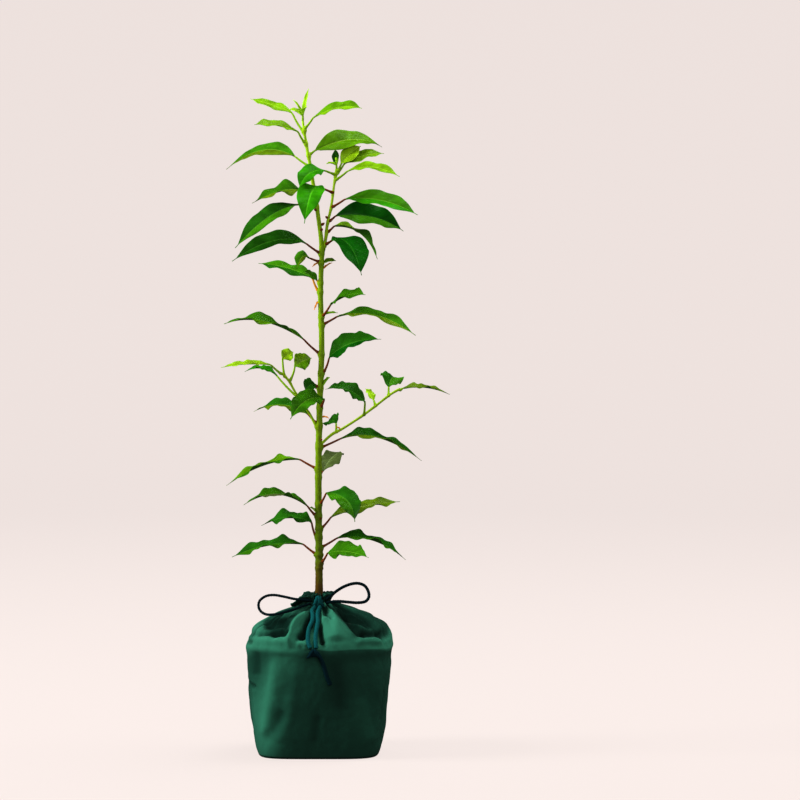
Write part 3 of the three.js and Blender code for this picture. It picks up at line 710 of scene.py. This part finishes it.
# shares of a tip's height, and how thick its stem is there
tipStem = [(-0.1, 1), (0, 1.1), (0.2, 1.02), (0.4, 0.9), (0.6, 0.85), (0.8, 0.72), (0.95, 0.6), (1, 0.3)]


def makeTips():
    shape = curl(1.5, 30, wave=0.4, cup=20)
    for number, (node, tip) in enumerate(tips.items()):
        limb = limbs[tip["from"]]
        foot, height = limb["points"][-1] + up * 2 * clearance, tip["height"]
        ring = level(rounds(16)) * limb["radius"][1]
        skins = [(*skin([foot + up * height * u + ring * thick for u, thick in tipStem]), 2)]
        for i, blade in enumerate(tip["blades"]):
            base = foot + up * height * (0.35 + 0.45 * i / len(tip["blades"]))
            slots = (3, 3, 3) if tip.get("dark") == i else (0, 0, 1)
            skins.append(youngBlade(base, blade, shape, 100 + 10 * number + i, slots))
        materials = leafMaterialsFor("young", "young", "fresh", "green")[1:] + leafMaterialsFor("dark")
        makePiece(camel(node), skins, materials, node)
    print("growing tips made")


makeTips()


# Little things in the leaf axils that the frame leaves out: young leaves and papery scales as limb, height
# and blade, and buds as limb, height, heading, length and radius.
axils = {
    "leaves": [("trunk", 489, (-8, 13, -2, 8)), ("trunk", 437, (-12, 15, -2, 4)),
               ("trunk", 366, (-30, 9, -9, 8)), ("trunk", 240, (215, 8, -5, 4))],
    "scales": [("trunk", 489, (200, 8, 4, 2.4)), ("trunk", 483, (-20, 10, -6, 2.6)),
               ("trunk", 335, (-20, 8, 1, 2)), ("trunk", 451, (200, 5, 9, 2.2)),
               ("right_twig", 322, (200, 5, -2, 1.8))],
    "buds": [("trunk", 521, -60, 4, 1.4), ("trunk", 526, -20, 5, 1.5), ("right_leader", 533, 215, 4, 1.3),
             ("trunk", 545, 200, 5, 1.3), ("trunk", 541, 230, 4, 1.2), ("trunk", 312, -50, 3, 1.2),
             ("trunk", 233, -60, 3, 1.2)],
}


def bud(start, way, length, radius):
    side = unit(np.cross(way, rows(0.3, 0.1, 1)))
    ring = circle(rounds(12), side, np.cross(side, way))
    rings = [start + way * length * w + radius * math.sin(math.pi * w ** 0.8) ** 0.8 * ring
             for w in np.linspace(0.03, 0.97, 12)]
    return (*skin(rings), 4)


def makeAxils():
    skins = []
    shape = curl(1, 35, wave=0.5, cup=22)
    for number, (limb, at, blade) in enumerate(axils["leaves"] + axils["scales"]):
        start, out = leaveLimb(limbs[limb], at, heading(blade[0]))
        slots = (0, 1, 2) if number < len(axils["leaves"]) else (3, 3, 3)
        skins.append(youngBlade(start - out, blade, shape, 200 + number, slots, stations=20, thickness=0.4))
    for limb, at, toward, length, radius in axils["buds"]:
        start, out = leaveLimb(limbs[limb], at, heading(toward))
        skins.append(bud(start - out, unit(out + 0.5 * up), length, radius))
    materials = leafMaterialsFor("lime", "leaf", "fresh", "papery")
    materials += leafMaterialsFor("lime", "leaf", "fresh", "red")[3:]
    makePiece("axilShoots", skins, materials)
    print("axil shoots set")


makeAxils()

# Stem colours up the trunk: brown foot, then brighter green towards the top.
stemColours = [(0, "#3A280A"), (0.04, "#503C10"), (0.1, "#506A0A"), (0.3, "#6A880C"), (0.6, "#72940A"),
               (0.85, "#84AC0C"), (1, "#98C01C")]


def stemMaterial():
    # Young stem: brown cracked bark at the foot, then smooth green skin with dark streaks.
    material, tree = newMaterial("youngStemBark", {"Roughness": 0.55, "Specular IOR Level": 0.1})
    place = placesOf(tree)["Object"]
    height = addNode(tree, "ShaderNodeSeparateXYZ", {0: place}).outputs["Z"]
    drift = reckoned(tree, "MULTIPLY_ADD", grained(tree, place, 70, 4), 0.05, height)
    ramp = addNode(tree, "ShaderNodeValToRGB", {0: ranged(tree, drift, 0.175, 0.675)})
    stops = ramp.color_ramp.elements
    stops.remove(stops[1])
    for position, colour in stemColours:
        stop = stops.new(position) if position > 0 else stops[0]
        stop.color = linear(colour)
    streak = grained(tree, place, 900, 4, lengthways=0.18)
    shade = mixed(tree, ranged(tree, streak, 0.35, 0.65, 0.35, 0), ramp.outputs["Color"], linear("#2A2208"))
    return dressed(material, shade, streak, 0.5, 0.0004)


def twigMaterial():
    # Soft new twig: thin bright skin with faint lengthways lines.
    material, tree = newMaterial("softGreenTwig", {"Roughness": 0.42, "Specular IOR Level": 0.12})
    streak = grained(tree, placesOf(tree)["Object"], 500, 3, lengthways=0.3)
    return dressed(material, mixed(tree, streak, linear("#6C8C08"), linear("#94B410")))


# Relief of the bark in mm: cracks on the brown foot, raised specks on the green part, and how far a leaf's
# place swells the stem.
bark = {"brownTop": 205, "crack": 0.35, "fine": 0.22, "speck": 0.16, "swell": 0.55, "cushion": 1.0,
        "scar": 0.35, "rings": (183.5, 197), "ring": 0.8, "sunk": 1.4}


def limbSkin(name, limb):
    count, sides = limb["stations"], limb["sides"]
    angle = rounds(sides)
    carried = [(row[0], row[1][0]) for carrier, table in leaves.values() if carrier == name for row in table]
    carried += [(other["at"], other["toward"]) for other in limbs.values() if other.get("from") == name]
    scale = limb["radius"][0] / limbs["trunk"]["radius"][0]
    rings, runs = [], []
    for i in range(-1 if "out" in limb else 0, count + 1):
        u = max(i, 0) / count
        centre, along = curvePoint(limb["points"], u), curveTangent(limb["points"], u)
        if i <= 0:
            along = limb.get("out", up)
        if i < 0:
            centre = centre - along * bark["sunk"]
        right = unit(np.cross(rows(0, 1, 0), along))
        directions = circle(angle, right, unit(np.cross(along, right)))
        z = centre[2]
        radius = np.full(sides, limbRadius(limb, u, z))
        for at, toward in carried:
            facing = np.clip(directions @ heading(toward), 0, 1)
            near = math.exp(-((z - at + 1.2) / 2.6) ** 2)
            radius += scale * near * (bark["swell"] + bark["cushion"] * facing ** 3)
            radius -= scale * bark["scar"] * math.exp(-((z - at - 3.2) / 1.6) ** 2) * facing ** 2
        if name == "trunk":
            radius += sum(bark["ring"] * math.exp(-((z - at) / 1.4) ** 2) for at in bark["rings"])
            brown = float(smooth(bark["brownTop"] + 12, bark["brownTop"] - 12, z))
            for s, way in enumerate(directions):
                crack = abs(noise.noise((Vector(way * 1.6) + Vector((0, 0, z * 0.10))) * 2.1))
                fine = noise.noise(Vector(way * 4.0) + Vector((7, 3, z * 0.9)))
                radius[s] += brown * (bark["crack"] * (0.5 - 1.6 * crack) + bark["fine"] * fine)
                speck = noise.noise(Vector(way * 3.1) + Vector((11, 5, z * 0.55)))
                radius[s] += (1 - brown) * bark["speck"] * max(0, speck - 0.25) * 4 * radius[s] / 3
        else:
            radius += 0.06 * np.cos(5 * angle + z * 0.05)
        rings.append(centre + directions * radius[:, None])
        runs.append(z / 100)
    return (*skin(rings, uvGrid(runs, np.linspace(0, 1, sides + 1))), 0)


def makeLimbs():
    materials = {"stem_bark": stemMaterial(), "green_twig": twigMaterial()}
    for name, limb in limbs.items():
        makePiece(camel(name), [limbSkin(name, limb)], [materials[limb["slot"]]], name)
    print("limbs grown")


makeLimbs()


# The filled bag: its sections as height, half width, squareness and pleat depth, in mm.
bag = {
    "sections": [(0, 56, 4.6, 0), (2, 60.3, 4.4, 0), (20, 65, 3.6, 0), (45, 68, 3, 0), (75, 71.3, 2.7, 0),
                 (100, 72.3, 2.5, 0), (109, 72.2, 2.5, 0.4), (118, 68.5, 2.5, 0.8), (126, 61.5, 2.4, 1.2),
                 (134.5, 50, 2.3, 1.5), (140.5, 38, 2.2, 1.6), (145.5, 25, 2, 1.5), (150, 15, 2, 1)],
    "sides": 320, "rows": 210, "gathers": 31, "gatherDepth": 1.9, "rimHeight": 106, "rimRoll": 0.9,
    "fullHeight": 124, "fullness": 4.2, "eyeAway": 3230, "eyeHeight": 450, "thread": 1.1, "threadsRound": 72,
    # cloth is the cotton's colour and deep the colour of its painted shade
    "cloth": "#265A48", "deep": "#020E0B",
    "damp": 0.74,  # how much painted shade darkens the wall below the rim, except along the painted lit stripe
}
# the curved ridge that bounds the painted shade in the hollow on the left, as height and x seen from the
# front
hollowEdge = [(106, -28), (116, -27.5), (127, -23), (134.5, -16), (139, -8)]
# the stripe of the wall that the painted shade leaves out, a painted lit stripe: x and height seen from the
# front, half width
paintedLitStripe = ([(-30, 96), (-40, 76), (-49, 62), (-55, 42), (-54, 20), (-50, 2)], 13)
# Fold lines as they show from the front: depth in mm (outwards above 0), half widths to the left and the
# right of the line as it runs, and its points as x and height.
frontFolds = [
    (2, (5.5, 4), [(-68, 109), (-52, 110.5), (-36, 110), (-24, 107)]),  # soft roll above the rim
    (-3, (2.4, 3), [(-62, 115.5), (-54, 117.5), (-45, 118.5), (-36, 118.5)]),  # groove over the roll
    (-6.5, (3, 5), [(-50, 117.5), (-40, 119.5), (-33, 120), (-28, 117.5)]),
    (1.2, (5, 5), [(-66, 124), (-60, 128), (-54, 131)]),
    (-6.5, (5, 5), [(-56, 126), (-45, 128), (-36, 129), (-30, 124)]),
    (5, (3.4, 2.8), [(-28, 106), (-27.5, 116), (-23, 127), (-16, 134.5), (-8, 139)]),  # curved ridge
    (-9.5, (4.6, 3), [(-6, 134), (-10, 127), (-14, 120), (-20, 112)]),  # hollow left of the tails
    (3, (4, 4), [(-22, 107), (-15, 108), (-9, 106)]),
    (4.8, (8, 11), [(7, 138), (14, 130), (19, 120), (20, 109)]),  # the broad bright facet
    (-6, (6, 3), [(21, 143), (31, 131), (40, 120), (50, 117)]),
    (-6, (2.6, 2.4), [(2, 128), (3, 116), (6, 106)]),
    (-2.4, (1.6, 1.4), [(7, 136), (12, 133), (14, 130)]),
    (2.2, (4.6, 2.8), [(38, 109), (50, 110.5), (66, 110)]),
    (-4.5, (2.4, 4), [(42, 118), (54, 119), (66, 118)]),
    (-4, (2, 2), [(11, 150), (33, 143.5), (58, 134)]),  # pleats that spread from the knot
    (1.8, (2.2, 2), [(13, 147), (34, 139), (57, 129)]),
    (-4.5, (2.4, 2.4), [(16, 144), (36, 134), (56, 123)]),
    (1.6, (2, 2), [(24, 139), (38, 130), (52, 121)]),
    (-2.8, (2, 2), [(-14, 146), (-30, 142), (-44, 136)]),
    (2, (2.2, 2), [(-14, 142.5), (-30, 138), (-46, 131)]),
    (2.6, (8, 6), [(-41, 98), (-44, 71), (-49, 39), (-54, 8)]),  # long soft folds of the wall
    (1.6, (7, 7), [(-24, 60), (-30, 34), (-36, 6)]),
    (-2, (6, 6), [(-32, 42), (-42, 26), (-54, 8)]),
    (-2.4, (6, 6), [(-62, 102), (-62, 74)]),
    (-2.8, (1.8, 2.4), [(-74, 71), (-62, 64)]),
    (1.6, (8, 8), [(40, 56), (52, 5)]),
    (-1.6, (9, 9), [(16, 96), (26, 36)]),
    (-1.2, (5, 5), [(2, 38), (-4, 6)]),
]


def bell(x):
    return np.exp(-x ** 2)


def wrapped(angle):
    return (angle + np.pi) % (2 * np.pi) - np.pi


# Distance to a fold's line in half widths, which differ on its two sides, and the share of the way along it.
def lineDistance(x, z, points, widths):
    best, scaled, share = np.full(x.shape, 1e9), np.zeros(x.shape), np.zeros(x.shape)
    fine = curve(rows(*points), np.linspace(0, 1, 4 * len(points)))
    for i, (a, b) in enumerate(zip(fine[:-1], fine[1:])):
        d = b - a
        t = np.clip(((x - a[0]) * d[0] + (z - a[1]) * d[1]) / d.dot(d), 0, 1)
        away = np.hypot(x - a[0] - t * d[0], z - a[1] - t * d[1])
        left = 0.5 + 0.5 * np.tanh((d[0] * (z - a[1]) - d[1] * (x - a[0])) / np.linalg.norm(d))
        nearer = away < best
        best = np.where(nearer, away, best)
        scaled = np.where(nearer, away / (widths[0] * left + widths[1] * (1 - left)), scaled)
        share = np.where(nearer, (i + t) / (len(fine) - 1), share)
    return scaled, share


def bagForm():
    sections, profile = rows(*bag["sections"]), np.linspace(0, 1, bag["rows"])
    run = runAlong(curve(sections, profile)[:, :2])
    even = np.interp(np.linspace(0, run[-1], bag["rows"]), run, profile)
    z, half, square, pleat = curve(sections, even).T[:, :, None]
    angle = rounds(bag["sides"])
    c, s = np.cos(angle), np.sin(angle)
    radius = half / (np.abs(c) ** square + np.abs(s) ** square) ** (1 / square)
    radius = radius + 0.4 * pleat * np.cos(9 * angle)
    return np.stack([radius * c, radius * s, z + 0 * radius], axis=-1), angle, z[:, 0], radius


# Folds of the sides and the back, which run down from the neck, along the wall and along the shoulder.
def sideFolds(theta, height, radius):
    move, draw = np.zeros(theta.shape), random.Random(7)

    def addFold(offset, depth, reach, width):
        move[:] += depth * reach * bell(wrapped(offset) * radius / width)

    for _ in range(22):
        place, drift = draw.uniform(0, 2 * math.pi), draw.uniform(-0.22, 0.22)
        low, depth = draw.uniform(100, 122), draw.choice((-1, 1)) * draw.uniform(1.4, 2.8)
        reach = smooth(low, low + 14, height) * smooth(152, 140, height)
        addFold(theta - place - drift * (150 - height) / 40, depth, reach, draw.uniform(2.4, 4.5))
    for _ in range(15):
        place, drift = draw.uniform(0, 2 * math.pi), draw.uniform(-0.16, 0.16)
        low, high = draw.uniform(2, 30), draw.uniform(60, 98)
        depth = draw.choice((-1, 1, 1)) * draw.uniform(0.8, 1.7)
        reach = smooth(low, low + 16, height) * smooth(high, high - 16, height)
        addFold(theta - place - drift * (height - 50) / 50, depth, reach, draw.uniform(3, 5.5))
    for _ in range(7):
        place, spread = draw.uniform(0, 2 * math.pi), draw.uniform(0.25, 0.5)
        ledge, depth = draw.uniform(112, 120), draw.uniform(1.8, 3.2)
        offset = wrapped(theta - place)
        move -= depth * bell(offset / spread) * bell((height - ledge - 4 * offset) / 3)
    return move


def clothNoise(angle, z, layers):  # each layer's strength, scale round the bag, and scale and start up it
    return np.array([[sum(strength * noise.noise(Vector((math.cos(a) * wide + h * lean, math.sin(a) * wide,
                                                         h * tall + start)))
                          for strength, wide, lean, tall, start in layers) for a in angle] for h in z])


def bagSkin():
    points, angle, z, radius = bagForm()
    around = np.roll(points, -1, axis=1) - np.roll(points, 1, axis=1)
    normals = unit(np.cross(around, np.gradient(points, axis=0)))
    x, y, height = points[:, :, 0], points[:, :, 1], points[:, :, 2]
    theta = np.broadcast_to(angle[None, :], x.shape)
    seenX = x * bag["eyeAway"] / (bag["eyeAway"] + y)
    seenZ = height + (bag["eyeHeight"] - height) * y / bag["eyeAway"]
    front = smooth(0, -14, y)
    aside = smooth(math.radians(48), math.radians(66), np.abs(wrapped(theta + np.pi / 2)))
    # painted shade on the wall below the rim, which leaves out the painted lit stripe
    away, share = lineDistance(seenX, seenZ, paintedLitStripe[0], (paintedLitStripe[1], paintedLitStripe[1]))
    paintedWallShade = bag["damp"] * (1 - 0.8 * front * np.exp(-away ** 2 - 2 * np.maximum(0, share - 0.9)))
    move = aside * sideFolds(theta, height, radius)
    for depth, widths, line in frontFolds:
        away, share = lineDistance(seenX, seenZ, line, widths)
        move += front * depth * (smooth(0, 0.18, share) * smooth(1, 0.82, share) * 0.75 + 0.25) * bell(away)
    # gathers that crowd together at the neck
    phase = 0.9 * np.sin(3 * theta + 1) + 0.6 * np.sin(5 * theta + 2.4)
    crowd = 1 - 2 * np.abs(np.sin(0.5 * bag["gathers"] * theta + phase)) ** 0.8
    strength = smooth(119, 146, height) * (0.65 + 0.35 * np.sin(4 * theta + 0.6))
    move += bag["gatherDepth"] * strength * crowd * (1 - 0.5 * front * smooth(138, 120, height))
    # painted shade: the cloth is darker below the rim than above it and darkest in the creases, lighter on
    # ridges, and dark in the hollow on the left, on the right slope, towards the neck and along the bottom
    # edge
    rimLine = 104.5 + 1.5 * np.sin(2 * theta + 0.5) - 2 * front * bell((seenX - 12) / 16)
    soften = 1.4 + 9 * front * smooth(-6, -34, seenX) + 3 * aside
    below = smooth(0, 1, (rimLine - seenZ) / soften)
    # painted shade in the hollow on the left and on the right slope
    slope = seenZ - 124 - 0.42 * (seenX + 60)
    paintedShadePatches = 0.65 * front * smooth(-62, -34, seenX) * smooth(118, 121, seenZ) * smooth(2, -5, slope)
    paintedShadePatches *= smooth(-1, -5, seenX - np.interp(seenZ, *zip(*hollowEdge)))
    paintedShadePatches += 0.8 * smooth(56, 20, y) * smooth(24, 40, seenX) * smooth(114, 123, height)
    # painted shade towards the neck, deeper in the creases and lifted on the ridges
    paintedNeckShade = np.clip(0.75 * smooth(124, 141, height) - move / 4.2, 0, 1)
    shade = (1 - (1 - paintedNeckShade) * (1 - paintedShadePatches)) * (1 - below) + below * (paintedWallShade - move / 12)
    # painted shadow along the bottom edge
    shade = np.maximum(np.clip(shade, 0, 1), smooth(4, 1.5, height))
    full = bag["fullness"] * bell((height - bag["fullHeight"]) / 10)
    sideways = np.cos(theta) ** 2
    move += full * np.clip(sideways + 0.5 * front - 0.5 * front * sideways - 0.5, 0, 1)
    # the rim of the pot under the cloth, and slack cloth just below it
    rim = bag["rimHeight"] + 1.5 * np.sin(2 * theta + 0.5) + 0.8 * np.sin(5 * theta)
    move += bag["rimRoll"] * bell((height - rim) / 3.5) * (0.75 + 0.25 * np.sin(3 * theta + 1))
    move -= 0.5 * bell((height - bag["rimHeight"] + 11) / 6)
    soft = clothNoise(angle, z, [(1, 2.2, 0, 0.022, 0)])
    fine = clothNoise(angle, z, [(1, 7, 0, 0.06, 0), (0.6, 15, 0.03, 0.16, 9)])
    move += 1.3 * soft * smooth(2, 18, height)
    move += fine * (0.45 + 0.5 * smooth(96, 124, height)) * smooth(2, 10, height)
    points = points + normals * (move * smooth(0.2, 6, height))[:, :, None]
    points[:, :, 2] = np.maximum(points[:, :, 2], 0.02)
    # flat underside and the closed neck inside the frill
    under = [points[0] * [w, w, 0] + [0, 0, 0.02 + 0.6 * (w < 0.9) * (1 - w)]
             for w in (0.04, 0.3, 0.6, 0.85, 0.95, 0.99)]
    top = [points[-1] * [w, w, 0] + [0, 0, 150.1 - 0.4 * (1 - w)] for w in (0.9, 0.7, 0.45, 0.2)]
    rings = np.array(under + list(points) + top)
    shades = np.concatenate([np.zeros(len(under) * bag["sides"]), shade.ravel(), np.tile(shade[-1], len(top)),
                             [0, shade[-1].mean()]])
    turns = 2 * np.pi * bag["threadsRound"] * np.linspace(0, 1, bag["sides"] + 1)
    uvs = uvGrid(runAlong(rings[:, 0]) / 100, turns / 100)[..., ::-1]
    return (*skin(rings, uvs), 0), shades


def cottonMaterial():
    # Plain-woven cotton: a matt face with a soft nap and slightly uneven threads. Real threads are about
    # 0.4 mm apart, too fine to show here, so they are drawn 1.1 mm apart.
    material, tree = newMaterial("wovenCotton", {
        "Roughness": 0.85, "Specular IOR Level": 0.1, "Sheen Weight": 0.05, "Sheen Roughness": 0.5,
        "Sheen Tint": linear("#5AB090")})
    place = placesOf(tree)
    uv = addNode(tree, "ShaderNodeSeparateXYZ", {0: place["UV"]}).outputs
    warp, weft = (reckoned(tree, "SINE", reckoned(tree, "MULTIPLY", uv[axis], 200 * math.pi / bag["thread"]))
                  for axis in ("X", "Y"))
    slub = grained(tree, place["Object"], 45, 5, roughness=0.7)
    # the shade attribute holds painted shade, which darkens the cloth towards its deep colour
    paintedShadeFactor = addNode(tree, "ShaderNodeAttribute", {"attribute_name": "shade"}).outputs["Fac"]
    worn = reckoned(tree, "MULTIPLY_ADD", slub, 0.16, -0.08)
    depth = reckoned(tree, "MULTIPLY_ADD", paintedShadeFactor, 0.92, worn, clamp=True)
    height = reckoned(tree, "MULTIPLY_ADD", slub, 1.5, reckoned(tree, "MULTIPLY", warp, weft))
    return dressed(material, mixed(tree, depth, linear(bag["cloth"]), linear(bag["deep"])), height, 0.25)


# The gathered hem: a ruffled collar of two faces of cloth, with one point that lies out to the left. In mm.
hem = {"inner": 6.4, "outer": 14, "point": 15, "pointAt": 186, "foot": 150.6, "crown": 159, "ruffles": 7,
       "fine": 23, "sides": 240}


def hemSkin():
    angle = rounds(hem["sides"])
    near = np.maximum(0, np.cos(angle - math.radians(hem["pointAt"]))) ** 12
    ruffle = np.cos(hem["ruffles"] * angle)
    fine = 1 - 2 * np.abs(np.sin(0.5 * hem["fine"] * angle + np.sin(3 * angle))) ** 0.8
    rim = hem["outer"] + 1.6 * ruffle + hem["point"] * near + 0.8 * fine
    top = hem["crown"] + 1.2 * ruffle - 10 * near + 0.7 * fine
    foot, inner, crown = hem["foot"], hem["inner"], hem["crown"]
    profile = []  # radius and height round the hem, and how deep its cloth lies in the shade
    for w in np.linspace(0, 1, 12):  # the outer face, from the drawstring out to the rim
        radius = (11 + (rim - 11) * w ** 1.3) * (1 + 0.06 * fine * (1 - w))
        profile.append((radius, foot + 0.2 + (top - 2.6 - foot) * w ** 0.9, 0.85))
    profile += [(rim + 0.35, top - 1.6, 0.6), (rim + 0.1, top - 0.8, 0.6), (rim - 0.7, top - 0.6, 0.7)]
    for w in np.linspace(0, 1, 10):  # the inner face, back over its folds to the trunk
        crest = np.sin(np.pi * w) * (1.3 + 0.8 * fine)
        profile.append((rim - 1.4 + (inner + 0.2 - rim + 1.4) * w,
                        top - 0.8 + (crown - 2 - top + 0.8) * w + crest, 0.85 + 0.13 * w))
    profile += [(inner, crown - 4, 0.98), (inner, foot, 0.98)]
    rings = [level(angle) * (radius + 0 * angle)[:, None] + (z + 0 * angle)[:, None] * up
             for radius, z, _ in profile]
    shades = np.concatenate([np.clip(depth - 0.25 * fine, 0, 1) for *_, depth in profile])
    uvs = uvGrid(np.arange(len(rings) + 1) * 0.01, np.linspace(0, 0.9, hem["sides"] + 1))[..., ::-1]
    return (*skin(rings, uvs, closedRow=True), 0), shades


def makeBag():
    cotton = cottonMaterial()
    for name, node, (cloth, shades) in (("rootBallBag", "root_ball_bag", bagSkin()),
                                        ("bagFrill", "bag_frill", hemSkin())):
        makePiece(name, [cloth], [cotton], node, shades)
    print("bag filled and gathered")


makeBag()


# Studio: a round pale cove as radius and height in metres, and soft boxes. Only the front one gleams.
studio = {
    "paper": "#393634", "glow": "#F0E6E3", "glowStrength": 0.95, "world": "#F2E8E4", "worldStrength": 0.5,
    "gamma": 0.85, "sides": 96,
    "cove": [(2.4994, 0), (3.7, 0), (4, 0.033), (4.3243, 0.1235), (4.6749, 0.4675), (5.054, 1.5765),
             (5.054, 3.7365)],
}
softBoxes = {
    "key": {"at": (-2.7, -0.4, 1.8), "size": 1.2, "power": 260, "aim": (0, 0, 0.3), "gleams": False},
    "top": {"at": (0.9, 0.4, 2.8), "size": 1.6, "power": 165, "aim": (0, 0, 0.35), "gleams": False},
    "front": {"at": (0.7, -3.0, 1.1), "size": 1.4, "power": 40, "aim": (0, 0, 0.3), "gleams": True},
    "back": {"at": (-0.7, 2.7, 2.1), "size": 0.9, "power": 20, "aim": (0, 0, 0.4), "gleams": False},
}


def makeStudio():
    # Smooth matt background paper.
    material, _ = newMaterial("paperCove", {
        "Base Color": linear(studio["paper"]), "Roughness": 0.9, "Specular IOR Level": 0,
        "Emission Color": linear(studio["glow"]), "Emission Strength": studio["glowStrength"]})
    ring = level(rounds(studio["sides"]))
    points, faces, _ = skin([ring * radius + up * height for radius, height in studio["cove"]])
    cove = newObject("cove", points[:-1], faces[:-studio["sides"]], [material])  # it is open at the top
    cove.visible_diffuse = cove.visible_glossy = False  # it is there to look at and lays no veil on the plant
    for name, box in softBoxes.items():
        data = bpy.data.lights.new(name, "AREA")
        data.size, data.energy = box["size"], box["power"]
        lamp = bpy.data.objects.new(name, data)
        lamp.location = box["at"]
        lamp.rotation_euler = (Vector(box["aim"]) - Vector(box["at"])).to_track_quat("-Z", "Y").to_euler()
        lamp.visible_camera, lamp.visible_glossy = False, box["gleams"]
        bpy.context.collection.objects.link(lamp)
    world = bpy.data.worlds.new("studio")
    world.use_nodes = True
    background = world.node_tree.nodes["Background"]
    background.inputs["Color"].default_value = linear(studio["world"])
    background.inputs["Strength"].default_value = studio["worldStrength"]
    world.cycles_visibility.glossy = False
    scene = bpy.context.scene
    scene.world = world
    scene.view_settings.view_transform, scene.view_settings.gamma = "Standard", studio["gamma"]
    print("studio lit")


makeStudio()
